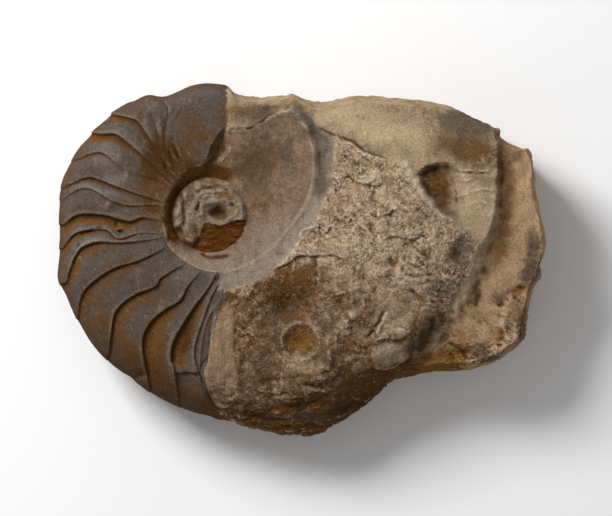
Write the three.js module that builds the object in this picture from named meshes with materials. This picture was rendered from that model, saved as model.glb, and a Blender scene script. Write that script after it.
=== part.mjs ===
// Ammonite fossil still set in its block of matrix: one natural stone, lying on its flat back.
//
// Frame: millimetres, +Z up out of the fossil's face, +X to its right, +Y towards its top edge.
// The origin is on the resting plane, under the middle of the outline.
//
// The stone is one closed skin: a face grid, a side wall below the widest line, and a flat back.

import * as THREE from 'three';

// ---- driving dimensions -------------------------------------------------------------------

const FACE_CELLS = 56; // face grid cells along each side, even
const ROUNDED_SHARE = 0.14; // share of the face grid that rounds the edge over
const WALL_ROWS = 6; // rows of facets between the widest line and the resting plane
const WALL_CURVE = 2.2; // how full the wall's section is
const WALL_CHIP = 1.4; // depth of the flaking on the wall
const CHIPS_AROUND = 46; // flakes round the wall
const CHIP_SLANT = 5; // how far the flakes lean round the wall on their way down, in radians
const OUTLINE_SAMPLES = 720;

const UMBILICUS = [-60.4, 30]; // centre of the coil
const BOSS_RADIUS = 24; // broken inner whorls left standing in the umbilicus
const BOSS_TOP = 71;
const BOSS_FULLNESS = 2.6; // how flat the boss is on top
const SEAM_LEVEL = 62; // floor of the ring round the boss
const SHOULDER_RADIUS = 36; // where the flank turns down into the umbilicus
const SHOULDER_LEVEL = 77;
const FLANK_FALL = 0.0016; // how fast the flank drops away towards the keel, per mm squared
const RIB_FADE = 16; // the ribs rise to their full height over this distance from the shoulder
const RIB_SOFTENING = 5; // the drop's own width

const BAND_REACH = 16; // the bare band climbs from the bowl's rim to the matrix over this
const STEP_WIDTH = 9; // of the scarp above RAMP_FROM, where it is a step
const RAMP_WIDTH = 30; // of the scarp below RAMP_TO, where it is a ramp
const [RAMP_FROM, RAMP_TO] = [28, -45];
const PIT_DEPTH = 9; // hollow at the top right
const [PIT_DEEP_SIDE, PIT_SHALLOW_SIDE] = [85, 117]; // its floor rises between these
const SOFTENING = 7; // width over which one level gives way to the next
const SPOT_SPREAD = 15; // how far a measured height spreads
const FAR_SHARE = 1e-7; // the share of a spot that is far off

// Widest line seen from above.
const OUTLINE = [
  [-159.5, 29.5], [-158.5, 48], [-153.5, 61], [-147, 73], [-138.5, 83.5], [-131, 90.5],
  [-124, 97.5], [-115, 103], [-109, 105], [-100.5, 108.5], [-90, 107.5], [-77, 112.5],
  [-67, 115.5], [-58.5, 115.5], [-49, 114], [-43, 109.5], [-30.5, 107], [-11.5, 107],
  [-6.5, 108.5], [1.5, 105.5], [14, 103.5], [26.5, 105.5], [36, 108], [52, 107],
  [77, 104.5], [95.5, 101], [115, 93], [128.5, 86.5], [131, 80], [144, 73.5], [149, 72.5],
  [153, 58.5], [153, 46.5], [157.5, 29.5], [160.5, 10], [156.5, -3.5], [156.5, -11],
  [152, -18], [147.5, -40], [146, -51], [135.5, -61], [116.5, -70.5], [89, -73],
  [65, -78], [45, -92.5], [22, -108.5], [9.5, -114.5], [-7.5, -116], [-28, -112.5],
  [-46, -108], [-61, -102.5], [-73.5, -99.5], [-95.5, -89.5], [-112.5, -77.5],
  [-128.5, -65.5], [-143.5, -46.5], [-154, -25.5], [-160.5, -11.5], [-159.5, 7],
];

// The edge round the outline: [degrees, height of the widest line, width of the rounding
// above it, how far the foot stands in from it].
const EDGE = [
  [0, 34, 9, 12], [25, 36, 8, 10], [34, 50, 9, 10], [60, 57, 8, 12], [90, 57, 8, 12],
  [110, 52, 11, 14], [135, 41, 16, 22], [180, 38, 20, 26], [215, 36, 26, 28],
  [250, 33, 40, 26], [270, 32, 46, 24], [295, 32, 42, 20], [315, 34, 20, 12],
  [340, 32, 12, 11], [360, 34, 9, 12],
];

// Rim of the umbilical bowl round its centre: [degrees, radius, level, how hollow the slope
// up to it is], where 1 is a straight slope, more is a funnel and less a rounded shoulder.
const BOWL_RIM = [
  [0, 58, 72, 1.2], [11, 66.5, 73, 1.3], [25, 76, 75, 1.5], [38, 83, 76, 1.6],
  [52, 87, 77, 1.5], [56, 80, 77, 1.3], [61, 68, 76, 1.1], [77, 56, 76, 0.9],
  [84, 43, 75, 0.8], [94, 34, 76, 0.7], [118, 32, 76, 0.6], [150, 30.5, 76.5, 0.55],
  [200, 31, 76.5, 0.55], [237, 34, 75, 0.55], [275, 37.5, 73, 0.7], [298, 39.5, 71.5, 0.85],
  [320, 43, 71, 1], [338, 47.5, 71, 1.05], [360, 58, 72, 1.2],
];

// Heights of the rock beside the coil: [x, y, level]. The level anywhere is the mean of these,
// each counting less the further off it is.
const MATRIX_SPOTS = [
  [0, 106, 72], [36, 106, 75], [77, 103, 76], [100, 98, 74], [45, 88, 80], [80, 80, 81],
  [116, 82, 79], [122, 50, 79], [118, 30, 78], [22, 70, 76], [40, 55, 81], [65, 38, 85],
  [45, 18, 86], [22, 5, 82], [88, 10, 85], [62, -6, 85], [38, -16, 83], [5, 12, 77],
  [-22, -14, 74], [-7, -30, 71], [0, -53, 70], [-30, -48, 74], [-52, -60, 73], [-50, -92, 67],
  [0, -76, 72], [-8, -96, 63], [22, -95, 64], [-26, -102, 62], [62, -32, 82], [58, -60, 76],
  [78, -45, 77], [92, -24, 79], [102, 0, 81], [110, 12, 80], [26, -50, 77], [40, -68, 72],
  [75, -66, 64], [60, -82, 60], [-30, 96, 77], [-45, 95, 77],
];
const LEDGE_SPOTS = [
  [140, 66, 73], [150, 55, 70], [138, 40, 71.5], [152, 25, 67], [142, 5, 69], [150, -8, 64],
  [125, -20, 69], [145, -22, 62], [112, -44, 66], [128, -48, 61], [140, -42, 62],
  [118, -62, 58], [95, -66, 60], [80, -72, 58], [60, -84, 55],
];

// Rib lines across the flank, counter-clockwise: the drop just past the line, how quickly
// the plate behind it rises again, and [radius, degrees] stations from the umbilicus.
const RIBS = [
  [0, 2, [[34, 84], [54, 80], [70, 80.5], [85, 82]]],
  [1, 2, [[42, 120], [63, 109.5], [71, 104], [84, 101]]],
  [2, 2, [[48, 127], [62, 119], [75, 113], [89, 116]]],
  [3, 2.5, [[49, 129.5], [57, 128], [73, 127], [85, 130.5], [92, 134]]],
  [3.5, 2.5, [[39, 141], [64, 142], [77, 142], [88, 146], [94, 149]]],
  [3.2, 2, [[34, 164], [60, 163], [77, 162], [92, 166.5], [98, 169.5]]],
  [3.5, 1.6, [[33, 183], [51, 183], [68, 180], [85, 179.5], [96, 183.5]]],
  [3, 1.6, [[36, 203], [58, 198], [75, 192], [93, 195], [104, 203]]],
  [3, 2, [[38, 216], [54, 213], [69, 209.5], [92, 210.5], [110, 218]]],
  [4.5, 1.8, [[38, 241.5], [52, 232.5], [79, 226], [99, 229.5], [116, 234.5]]],
  [6, 1.6, [[38, 258], [59, 251], [74, 243], [91, 241.5], [121, 251]]],
  [6, 1.5, [[39, 272], [58, 262], [78, 255.5], [91, 253.5], [128, 261]]],
  [0, 1, [[48, 279], [72, 271.5], [89, 270], [112, 272], [132, 275]]],
];

// Bare strip between the bowl's rim and the crumbly matrix.
const BAND = [
  [-6, 105], [4.5, 94.5], [11, 88], [22, 82], [22, 63], [19, 51], [16, 42], [9, 23.5],
  [-0.5, 13.5], [-14, -2.5], [-22, -9.5], [-35.5, -16], [-47, -19.5], [-56, -20], [-56, 0],
  [-30, 8], [-8, 26], [0, 48], [0, 72], [-10, 93],
];

// Edge of the step down to the ledge, walked downwards: the ledge is on its left.
const SCARP = [
  [128, 120], [129.5, 86], [131, 73], [129.5, 40], [127, 23.5], [118, -1], [106, -26],
  [91.5, -49], [75, -67], [55, -90], [40, -130],
];

const PIT = [
  [75.5, 56], [81.5, 61], [94.5, 64.5], [104.5, 59.5], [110, 48], [108, 32], [97, 29],
  [88, 34], [81, 43],
];

// ---- plain maths --------------------------------------------------------------------------

const { clamp, lerp, smoothstep, degToRad, radToDeg } = THREE.MathUtils;

/** Direction of a point from the origin, 0 to 360 degrees. */
const bearing = (x, y) => (radToDeg(Math.atan2(y, x)) + 360) % 360;

/** 0 below an edge and 1 above it, changing over a width round it. */
const step = (value, width) => smoothstep(value, -width / 2, width / 2);

/** A column of a table of rows at x, straight from row to row; the first column is x. */
function lookUp(table, x, column = 1) {
  const above = table.findIndex((row) => row[0] > x);
  if (above === 0) return table[0][column];
  if (above < 0) return table.at(-1)[column];
  const [a, b] = [table[above - 1], table[above]];
  return lerp(a[column], b[column], (x - a[0]) / (b[0] - a[0]));
}

/** Distance from a point to a run of straight lines, positive on its left-hand side. */
function leftOf(line, x, y) {
  let nearest = Infinity;
  for (let i = 1; i < line.length; i++) {
    const [ax, ay] = line[i - 1];
    const [dx, dy] = [line[i][0] - ax, line[i][1] - ay];
    const along = clamp(((x - ax) * dx + (y - ay) * dy) / (dx * dx + dy * dy), 0, 1);
    const distance = Math.hypot(x - ax - along * dx, y - ay - along * dy);
    const side = Math.sign(dx * (y - ay) - dy * (x - ax)) || 1;
    if (distance < Math.abs(nearest)) nearest = side * distance;
  }
  return nearest;
}

/** Distance from a point to a closed outline, positive inside it. */
function depthInside(polygon, x, y) {
  const closed = [...polygon, polygon[0]];
  let inside = false;
  for (let i = 1; i < closed.length; i++) {
    const [ax, ay] = closed[i - 1];
    const [bx, by] = closed[i];
    const crosses = ay > y !== by > y;
    if (crosses && x < ((bx - ax) * (y - ay)) / (by - ay) + ax) inside = !inside;
  }
  const distance = Math.abs(leftOf(closed, x, y));
  return inside ? distance : -distance;
}

// ---- outline ------------------------------------------------------------------------------

/** Table of [degrees, radius] of a smooth closed curve through the outline's points. */
function outlineTable() {
  const corners = OUTLINE.map(([x, y]) => new THREE.Vector3(x, y, 0));
  const rows = new THREE.CatmullRomCurve3(corners, true)
    .getPoints(OUTLINE_SAMPLES)
    .slice(1)
    .map((p) => [bearing(p.x, p.y), Math.hypot(p.x, p.y)])
    .sort((a, b) => a[0] - b[0]);
  const [first, last] = [rows[0], rows.at(-1)];
  return [[last[0] - 360, last[1]], ...rows, [first[0] + 360, first[1]]];
}

const outline = outlineTable();

// ---- the face -----------------------------------------------------------------------------

/** Saw-tooth of the ribbed flank: each plate starts low past its rib line and rises again. */
function ribRelief(radius, angle) {
  const lines = RIBS.map(([, , stations]) => lookUp(stations, radius));
  const next = lines.findIndex((line) => line > angle);
  if (next <= 0) return 0;
  const [drop, recovery] = RIBS[next - 1];
  const behind = degToRad(angle - lines[next - 1]) * radius;
  const across = (angle - lines[next - 1]) / (lines[next] - lines[next - 1]);
  const fromShoulder = smoothstep(radius, SHOULDER_RADIUS, SHOULDER_RADIUS + RIB_FADE);
  return -drop * fromShoulder * (1 - across) ** recovery * smoothstep(behind, 0, RIB_SOFTENING);
}

/** Distance inside the ribbed flank, between its first and last rib lines. */
function depthInFlank(radius, angle) {
  const start = lookUp(RIBS[0][2], radius);
  const end = lookUp(RIBS.at(-1)[2], radius);
  return degToRad(Math.min(angle - start, end - angle)) * radius;
}

/** Mean of the spot heights, each weighted by a bell curve of its distance. */
function spotLevel(spots, x, y) {
  let total = 0;
  let weights = 0;
  for (const [spotX, spotY, level] of spots) {
    const squared = (x - spotX) ** 2 + (y - spotY) ** 2;
    const weight = Math.exp(-squared / (2 * SPOT_SPREAD ** 2)) + FAR_SHARE;
    total += weight * level;
    weights += weight;
  }
  return total / weights;
}

/** Rock beside the coil: the matrix, parted by the scarp from the lower ledge. */
function rockLevel(x, y) {
  const scarpWidth = lerp(RAMP_WIDTH, STEP_WIDTH, smoothstep(y, RAMP_TO, RAMP_FROM));
  const onLedge = step(leftOf(SCARP, x, y) + scarpWidth / 4, scarpWidth);
  return lerp(spotLevel(MATRIX_SPOTS, x, y), spotLevel(LEDGE_SPOTS, x, y), onLedge);
}

/** Depth of the hollow at the top right, deepest on its left. */
function pitDepth(x, y) {
  const across = (PIT_SHALLOW_SIDE - x) / (PIT_SHALLOW_SIDE - PIT_DEEP_SIDE);
  return PIT_DEPTH * clamp(across, 0, 1) * step(depthInside(PIT, x, y), SOFTENING);
}

/** Height of the face above the resting plane, before its edges are rounded. */
function faceLevel(x, y) {
  const [dx, dy] = [x - UMBILICUS[0], y - UMBILICUS[1]];
  const radius = Math.hypot(dx, dy);
  const angle = bearing(dx, dy);
  const outward = Math.max(radius - SHOULDER_RADIUS, 0);
  const flank = SHOULDER_LEVEL - FLANK_FALL * outward ** 2 + ribRelief(radius, angle);
  const onFlank = step(depthInFlank(radius, angle), SOFTENING);
  const ground = lerp(rockLevel(x, y), flank, onFlank) - pitDepth(x, y);

  const [rimRadius, rimLevel, hollowness] = [1, 2, 3].map((k) => lookUp(BOWL_RIM, angle, k));
  const pastRim = radius - rimRadius;
  const band = lerp(rimLevel, ground, smoothstep(pastRim, 0, BAND_REACH));
  const outside = lerp(ground, band, step(depthInside(BAND, x, y), SOFTENING));

  const up = clamp((radius - BOSS_RADIUS) / (rimRadius - BOSS_RADIUS), 0, 1);
  const bowl = lerp(SEAM_LEVEL, rimLevel, up ** hollowness);
  const wholeLevel = lerp(bowl, outside, step(pastRim, SOFTENING));
  if (radius >= BOSS_RADIUS) return wholeLevel;
  return lerp(SEAM_LEVEL, BOSS_TOP, Math.sqrt(1 - (radius / BOSS_RADIUS) ** BOSS_FULLNESS));
}

// ---- the skin -----------------------------------------------------------------------------

/** Point of the face at a share of the way from the middle to the widest line. */
function facePoint(angle, share) {
  const reach = lookUp(outline, angle);
  const rimLevel = lookUp(EDGE, angle, 1);
  const width = lookUp(EDGE, angle, 2);
  const turn = (Math.PI / 2) * Math.min((1 - share) / ROUNDED_SHARE, 1);
  const inner = Math.min(share / (1 - ROUNDED_SHARE), 1) * (reach - width);
  const radius = inner + width * (share > 1 - ROUNDED_SHARE ? Math.cos(turn) : 0);
  const x = radius * Math.cos(degToRad(angle));
  const y = radius * Math.sin(degToRad(angle));
  return [x, y, lerp(rimLevel, faceLevel(x, y), Math.sin(turn))];
}

/** Point of the side wall at a share of the way down from the widest line to the foot. */
function wallPoint(angle, share) {
  const rimLevel = lookUp(EDGE, angle, 1);
  const inset = lookUp(EDGE, angle, 3);
  const tuck = inset * (1 - (1 - share ** WALL_CURVE) ** (1 / WALL_CURVE));
  const around = degToRad(angle);
  const wave = Math.abs(Math.sin((around * CHIPS_AROUND) / 2 + share * CHIP_SLANT));
  const flake = wave * Math.sin(share * Math.PI);
  const radius = lookUp(outline, angle) - tuck - WALL_CHIP * flake;
  return [radius * Math.cos(around), radius * Math.sin(around), rimLevel * (1 - share)];
}

/** [degrees, share] of a place on a square grid whose square rings become a disc's rings. */
function squareToDisc(i, j) {
  const ring = Math.max(Math.abs(i), Math.abs(j));
  const share = ring / (FACE_CELLS / 2);
  if (ring === 0) return [0, 0];
  if (i === ring) return [(360 + (45 * j) / ring) % 360, share];
  if (j === ring) return [90 - (45 * i) / ring, share];
  if (i === -ring) return [180 - (45 * j) / ring, share];
  return [270 + (45 * i) / ring, share];
}

/** Grid places of the widest line, counter-clockwise. */
function borderPlaces() {
  const half = FACE_CELLS / 2;
  const steps = Array.from({ length: FACE_CELLS }, (_, n) => n - half);
  return [
    ...steps.map((n) => [n, -half]),
    ...steps.map((n) => [half, n]),
    ...steps.map((n) => [-n, half]),
    ...steps.map((n) => [-half, -n]),
  ];
}

/** The whole skin: the face, then rows of wall points below it, then the flat back. */
function stoneGeometry() {
  const half = FACE_CELLS / 2;
  const side = FACE_CELLS + 1;
  const gridIndex = (i, j) => (j + half) * side + i + half;
  const positions = [];
  const triangles = [];
  const quad = (a, b, c, d) => triangles.push(a, b, c, a, c, d);

  for (let j = -half; j <= half; j++) {
    for (let i = -half; i <= half; i++) {
      positions.push(...facePoint(...squareToDisc(i, j)));
    }
  }
  for (let j = -half; j < half; j++) {
    for (let i = -half; i < half; i++) {
      quad(gridIndex(i, j), gridIndex(i + 1, j), gridIndex(i + 1, j + 1), gridIndex(i, j + 1));
    }
  }

  const places = borderPlaces();
  let upper = places.map(([i, j]) => gridIndex(i, j));
  for (let row = 1; row <= WALL_ROWS; row++) {
    const start = positions.length / 3;
    const lower = places.map((_, n) => start + n);
    for (const [i, j] of places) {
      positions.push(...wallPoint(squareToDisc(i, j)[0], row / WALL_ROWS));
    }
    for (let n = 0; n < places.length; n++) {
      const next = (n + 1) % places.length;
      quad(upper[next], upper[n], lower[n], lower[next]);
    }
    upper = lower;
  }

  const backMiddle = positions.length / 3;
  positions.push(0, 0, 0);
  upper.forEach((at, n) => triangles.push(backMiddle, upper[(n + 1) % upper.length], at));

  const geometry = new THREE.BufferGeometry();
  geometry.setAttribute('position', new THREE.Float32BufferAttribute(positions, 3));
  geometry.setIndex(triangles);
  return geometry;
}

// ---- the part -----------------------------------------------------------------------------

const fossilStone = new THREE.MeshStandardMaterial({
  name: 'fossil_stone',
  color: new THREE.Color(0.34, 0.27, 0.2),
  roughness: 0.85,
  metalness: 0,
});

const geometry = stoneGeometry();
geometry.computeBoundingBox();
const middle = geometry.boundingBox.getCenter(new THREE.Vector3());
geometry.translate(-middle.x, -middle.y, 0);
geometry.computeVertexNormals();

const stone = new THREE.Mesh(geometry, fossilStone);
stone.name = 'ammonite_fossil';

const part = new THREE.Group();
part.add(stone);

export default part;
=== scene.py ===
"""Ammonite fossil in its block of matrix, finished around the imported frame.

The stone is one closed skin. Its face is a grid of rings that follows the outline, its wall runs
from the widest line down to the foot, and its back is flat. Heights, ribs, ledges and flakes are
functions of place on the face, in millimetres about the middle of the outline.
"""

import itertools
import math

import bpy
import numpy as np
from bpy.props import FloatProperty, FloatVectorProperty, IntProperty, PointerProperty
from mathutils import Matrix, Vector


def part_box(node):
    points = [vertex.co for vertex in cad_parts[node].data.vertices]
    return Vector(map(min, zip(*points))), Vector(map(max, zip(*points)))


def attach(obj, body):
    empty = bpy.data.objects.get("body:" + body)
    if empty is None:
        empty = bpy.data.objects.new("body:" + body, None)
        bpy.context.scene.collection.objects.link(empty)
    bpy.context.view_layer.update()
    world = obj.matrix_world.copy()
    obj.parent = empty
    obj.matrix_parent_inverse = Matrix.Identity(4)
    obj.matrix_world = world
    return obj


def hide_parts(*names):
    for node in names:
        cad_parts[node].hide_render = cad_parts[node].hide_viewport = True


bl_info = {
    "name": "Ammonite fossil",
    "version": (1, 0, 0),
    "blender": (4, 5, 0),
    "location": "View3D > Sidebar > Fossil",
    "description": "Builds an ammonite fossil in matrix as one fine stone, on a plain stage",
    "category": "Object",
}

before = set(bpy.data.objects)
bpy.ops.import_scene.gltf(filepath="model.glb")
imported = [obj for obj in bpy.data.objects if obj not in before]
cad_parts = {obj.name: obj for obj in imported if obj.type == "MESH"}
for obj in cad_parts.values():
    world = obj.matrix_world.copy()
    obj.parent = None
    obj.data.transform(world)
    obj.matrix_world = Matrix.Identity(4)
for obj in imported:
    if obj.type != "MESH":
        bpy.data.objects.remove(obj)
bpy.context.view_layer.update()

STONE_NODE = "ammonite_fossil"
MM = 0.001
FRAME_LOW, FRAME_HIGH = (np.array(corner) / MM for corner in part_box(STONE_NODE))

# ---- shape of the stone, in millimetres -----------------------------------------------------

# Widest line seen from above.
OUTLINE = [
    (-159.5, 29.5), (-158.5, 48), (-153.5, 61), (-147, 73), (-138.5, 83.5), (-131, 90.5),
    (-124, 97.5), (-115, 103), (-109, 105), (-100.5, 108.5), (-90, 107.5), (-77, 112.5),
    (-67, 115.5), (-58.5, 115.5), (-49, 114), (-43, 109.5), (-30.5, 107), (-11.5, 107),
    (-6.5, 108.5), (1.5, 105.5), (14, 103.5), (26.5, 105.5), (36, 108), (52, 107),
    (77, 104.5), (95.5, 101), (115, 93), (128.5, 86.5), (131, 80), (144, 73.5), (149, 72.5),
    (153, 58.5), (153, 46.5), (157.5, 29.5), (160.5, 10), (156.5, -3.5), (156.5, -11),
    (152, -18), (147.5, -40), (146, -51), (135.5, -61), (116.5, -70.5), (89, -73),
    (65, -78), (45, -92.5), (22, -108.5), (9.5, -114.5), (-7.5, -116), (-28, -112.5),
    (-46, -108), (-61, -102.5), (-73.5, -99.5), (-95.5, -89.5), (-112.5, -77.5),
    (-128.5, -65.5), (-143.5, -46.5), (-154, -25.5), (-160.5, -11.5), (-159.5, 7),
]

# The edge round the outline: degrees, height of the widest line, width of the rounding above
# it, and how far the foot stands in from it.
EDGE = np.array([
    (0, 46, 3, 12), (25, 46, 3, 10), (34, 50, 5, 10), (60, 57, 6, 12), (90, 57, 6, 12),
    (110, 52, 8, 14), (135, 41, 14, 22), (180, 38, 17, 26), (215, 36, 24, 28),
    (250, 33, 38, 26), (270, 32, 46, 24), (295, 32, 40, 20), (315, 36, 12, 12),
    (340, 42, 4, 11), (360, 46, 3, 12),
], dtype=float)
WALL_CURVE = 2.2
WEAR_AND_SHADE_CELLS = 480  # cells along a side of the grid for which the reach of the pale wear, painted highlight, soil and painted shade is set
BACK_RINGS = (0.66, 0.33)  # shares of the way out at which the flat back has a ring of points

UMBILICUS = np.array([-60.4, 30.0])
BOSS_RADIUS = 24.6
BOSS_TOP = 72.5
BOSS_RIM_RADIUS = 21.8
TERRACE_DROP = 3.2
SEAM_LEVEL = 68.6  # floor of the ring round the boss
PIT_DEPTH = 6.0
HOLE_DEPTH = 2.6
CRATER = np.array([-0.5, -52.5])  # middle of the round hollow with a raised rim
CRATER_RIM = 12.2
SHOULDER_RADIUS = 36.0
SHOULDER_LEVEL = 77.0
FLANK_FALL = 0.0016

# Rim of the umbilical bowl round its centre: degrees, radius, level, and how hollow the slope
# up to it is (1 is straight, more is a funnel, less is a rounded shoulder).
BOWL_RIM = np.array([
    (0, 58, 72, 1.2), (11, 66.5, 73, 1.3), (19, 71.5, 74, 1.4), (25.5, 76, 75, 1.5),
    (32, 80, 76, 1.55), (38, 83, 76, 1.6), (42, 85, 77, 1.6), (47, 86.5, 77, 1.6),
    (52, 87, 77, 1.5), (56, 80, 77, 1.3), (61, 68, 76, 1.1), (66, 61.5, 76, 1.0),
    (77, 56, 76, 0.9), (84, 43, 75, 0.8), (94, 34, 76, 0.7), (118, 32, 76, 0.6),
    (135, 31, 76, 0.55), (150, 30.5, 76.5, 0.55), (200, 31, 76.5, 0.55), (215, 33.5, 75.5, 0.55),
    (237, 34, 75, 0.55), (260, 36, 74, 0.6), (275, 37.5, 73, 0.7), (298, 39.5, 71.5, 0.85),
    (320, 43, 71, 1.0), (338, 47.5, 71, 1.05), (350, 52, 71.5, 1.1), (360, 58, 72, 1.2),
], dtype=float)

# Rib lines, counter-clockwise round the flank. Each has the share of the plate behind it that
# stays low, and stations from the umbilicus: radius, degrees, and drop just past the line.
RIBS = [
    (0.10, [(34, 88, 0), (54, 78.5, 0), (70, 80.5, 0), (85, 82, 0)]),
    (0.15, [(42, 120, 0.6), (63, 109.5, 1.2), (71, 104, 1.2), (84, 101, 0.8)]),
    (0.15, [(45, 126, 1.0), (57, 120, 1.6), (73, 111, 1.6), (84, 113, 1.2)]),
    (0.15, [(48, 127.5, 1.2), (62, 122, 1.2), (78, 119, 1.0), (89, 123, 0.8)]),
    (0.16, [(41, 131, 1.0), (49, 129.5, 2.2), (57, 128, 2.4), (73, 127, 2.4), (78, 127.5, 3.2),
            (85, 130.5, 3.8), (92, 134, 3.2)]),
    (0.22, [(39, 139, 1.6), (64, 138, 2.6), (77, 138.5, 3.6), (82, 139.5, 4.6),
            (88, 142.5, 4.8), (94, 145, 3.6)]),
    (0.10, [(39, 143.5, 0.8), (42, 146, 1.0), (52, 150, 1.0), (59, 152, 0.9), (69, 150.5, 1.2),
            (82, 150, 1.7), (92, 155.5, 1.8), (97, 158.5, 1.4)]),
    (0.30, [(34, 164, 1.6), (60, 163, 2.2), (77, 162, 2.6), (84, 163, 2.4), (98, 169.5, 1.6)]),
    (0.16, [(34, 169, 1.2), (50, 173, 1.6), (60, 172.5, 1.6), (74, 168.5, 1.4),
            (81, 167.5, 1.6), (88, 169, 1.6), (97, 174, 1.2)]),
    (0.55, [(33, 185.5, 1.2), (43, 182, 2.2), (51, 184.5, 3.4), (59, 182.5, 4.2),
            (68, 180, 4.2), (85, 179.5, 4.0), (96, 183.5, 3.2)]),
    (0.35, [(34, 200, 0.8), (46, 194.5, 1.4), (61, 194.5, 2.6), (68, 188, 3.0), (81, 187, 3.4),
            (90, 188, 3.2), (99, 192.5, 2.4)]),
    (0.22, [(36, 204.5, 0.8), (48, 200.5, 1.6), (65, 196, 2.4), (75, 193.5, 2.8),
            (87, 194.5, 3.4), (96, 199.5, 3.6), (104, 205, 2.6)]),
    (0.20, [(38, 216, 1.4), (54, 213, 2.2), (69, 209.5, 2.6), (84, 209.5, 2.8),
            (99, 212, 2.8), (110, 218, 2.0)]),
    (0.40, [(38, 241.5, 1.0), (42, 237.5, 1.6), (52, 232.5, 2.0), (58, 233, 2.4), (71, 227, 2.9),
            (86, 225.5, 3.0), (99, 229.5, 2.8), (110, 233, 2.2), (116, 234.5, 1.8)]),
    (0.50, [(38, 260, 1.0), (48, 253.5, 1.8), (59, 251, 2.5), (68, 245, 3.2), (79, 241.5, 3.6),
            (91, 241.5, 3.6), (106, 246, 2.8), (121, 251, 2.0)]),
    (0.62, [(39, 276, 1.2), (48, 269, 2.0), (58, 262, 3.2), (71, 257, 4.2), (86, 254, 4.6),
            (98, 255, 4.0), (104, 257, 2.0), (128, 261, 1.5)]),
    (0.45, [(42, 281.5, 1.0), (53, 271.5, 1.8), (73, 265.5, 2.0), (90, 263.5, 1.8),
            (104, 266, 1.2), (117, 269, 0.9), (132, 272.4, 0.8)]),
    (0.30, [(55, 279, 0.8), (59, 274.5, 1.0), (69, 268.8, 1.2), (82, 266.8, 1.2),
            (92, 266.4, 1.2), (101, 266.6, 0.8), (111, 268.2, 0.7), (132, 272.8, 0.6)]),
    (0.20, [(55, 281, 0.8), (62, 275.5, 1.0), (72, 272, 1.1), (89, 270, 1.1), (97, 269.4, 1.0),
            (103, 268.3, 0.9), (111, 269, 0.9), (132, 273.2, 0.8)]),
]
PLATE_LIP = 0.22  # each plate's far edge stands up by this much
LIP_WIDTH = 2.0

# Heights of the rock that isn't flank or bowl: x, y, level. The level anywhere is the mean of
# these, each counting less the further off it is.
MATRIX_SPOTS = np.array([
    (0, 106, 72), (36, 106, 75), (77, 103, 76), (100, 98, 74), (45, 88, 80), (80, 80, 81),
    (116, 82, 79), (122, 50, 79), (118, 30, 78), (22, 70, 76), (40, 55, 81), (65, 38, 85),
    (45, 18, 86), (22, 5, 82), (88, 10, 85), (62, -6, 85), (38, -16, 83), (5, 12, 77),
    (-22, -14, 74), (-7, -30, 71), (0, -53, 72), (-30, -48, 74), (-52, -60, 73), (-50, -92, 67),
    (0, -76, 72), (-8, -96, 63), (22, -95, 64), (-26, -102, 62), (62, -32, 82), (58, -60, 76),
    (78, -45, 76), (92, -24, 78), (102, 0, 79.5), (110, 12, 78.5), (26, -50, 77), (40, -68, 72),
    (75, -66, 64), (60, -82, 60), (-30, 96, 77), (-45, 95, 77),
], dtype=float)
LEDGE_SPOTS = np.array([
    (140, 66, 75), (150, 55, 71), (138, 40, 73.5), (152, 25, 68.5), (142, 5, 72.5), (150, -8, 66),
    (128, 14, 75), (125, -20, 72), (145, -22, 64), (112, -44, 67), (128, -48, 63), (140, -42, 62),
    (118, -62, 58), (95, -66, 60), (80, -72, 58), (60, -84, 55),
], dtype=float)
SPOT_SPREAD = 15.0
SLANT = -38.0  # bearing along which the crumbled flakes are drawn out
DRAWN_OUT = 1.7

BAND = [
    (-6, 105), (4.5, 94.5), (11, 88), (22, 82), (22, 63), (19, 51), (16, 42), (9, 23.5),
    (-0.5, 13.5), (-14, -2.5), (-22, -9.5), (-35.5, -16), (-47, -19.5), (-56, -20),
    (-56, 0), (-42, 2), (-30, 8), (-18, 17), (-8, 26), (-2, 35), (0, 48), (1, 60), (0, 72),
    (-2, 80), (-6, 87), (-10, 93),
]
CRUMBLED = [
    (22, 82), (28.5, 79.5), (38.5, 73), (48.5, 67.5), (61.5, 64.5), (68, 60), (73, 51),
    (80, 41), (88, 31), (95, 27), (106, 20.5), (114.5, 13), (116.5, 7), (111, -9.5),
    (99.5, -26), (94.5, -39.5), (81.5, -56), (65, -71), (48, -95), (40, -150), (-90, -150),
    (-82, -104), (-88, -81), (-84, -66), (-82, -50), (-78, -36), (-64, -18),
    (-47, -19.5), (-35.5, -16), (-22, -9.5), (-14, -2.5), (-0.5, 13.5), (9, 23.5),
    (16, 42), (19, 51), (22, 63),
]
PINK_STRIP = [
    (-52.5, -21), (-44.5, -33.5), (-43.5, -50), (-44.5, -62), (-41, -74), (-42, -86),
    (-38, -104), (-40, -150), (-90, -150), (-82, -104), (-88, -81), (-84, -66),
    (-82, -50), (-78, -36), (-64, -18),
]
SCARP = [
    (128, 130), (129.5, 86), (131, 73), (129.5, 40), (127, 23.5), (118, -1), (106, -26),
    (91.5, -49), (75, -67), (55, -90), (40, -140),
]
PIT = [
    (75.5, 56), (80, 60.5), (87, 63.5), (96, 63.5), (103, 60), (109, 50), (110, 38),
    (104, 27), (95, 28), (88, 33), (82, 42),
]
TRIANGLE_HOLE = [
    (-62.5, 63), (-59.5, 74), (-54.5, 81.5), (-50, 87), (-48, 79), (-48.5, 71), (-55.5, 64),
]
FACET_PLATE = [
    (50, -19.5), (65, -16.5), (72, -22), (77, -28.5), (73.5, -41), (65, -48), (50.5, -50.5),
    (46, -43.5),
]
LOWER_FACET = [
    (46, -56), (56, -53.5), (66.5, -53.5), (72, -58.5), (71, -64), (59.5, -68.5), (49, -72),
    (45, -64),
]
BOSS_TERRACE = [
    (-62.8, 23.6), (-52, 22.5), (-42.7, 26.2), (-34, 26), (-34, 14), (-42, 4), (-58, 1),
    (-72, 8), (-66.6, 17.5),
]

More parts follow.
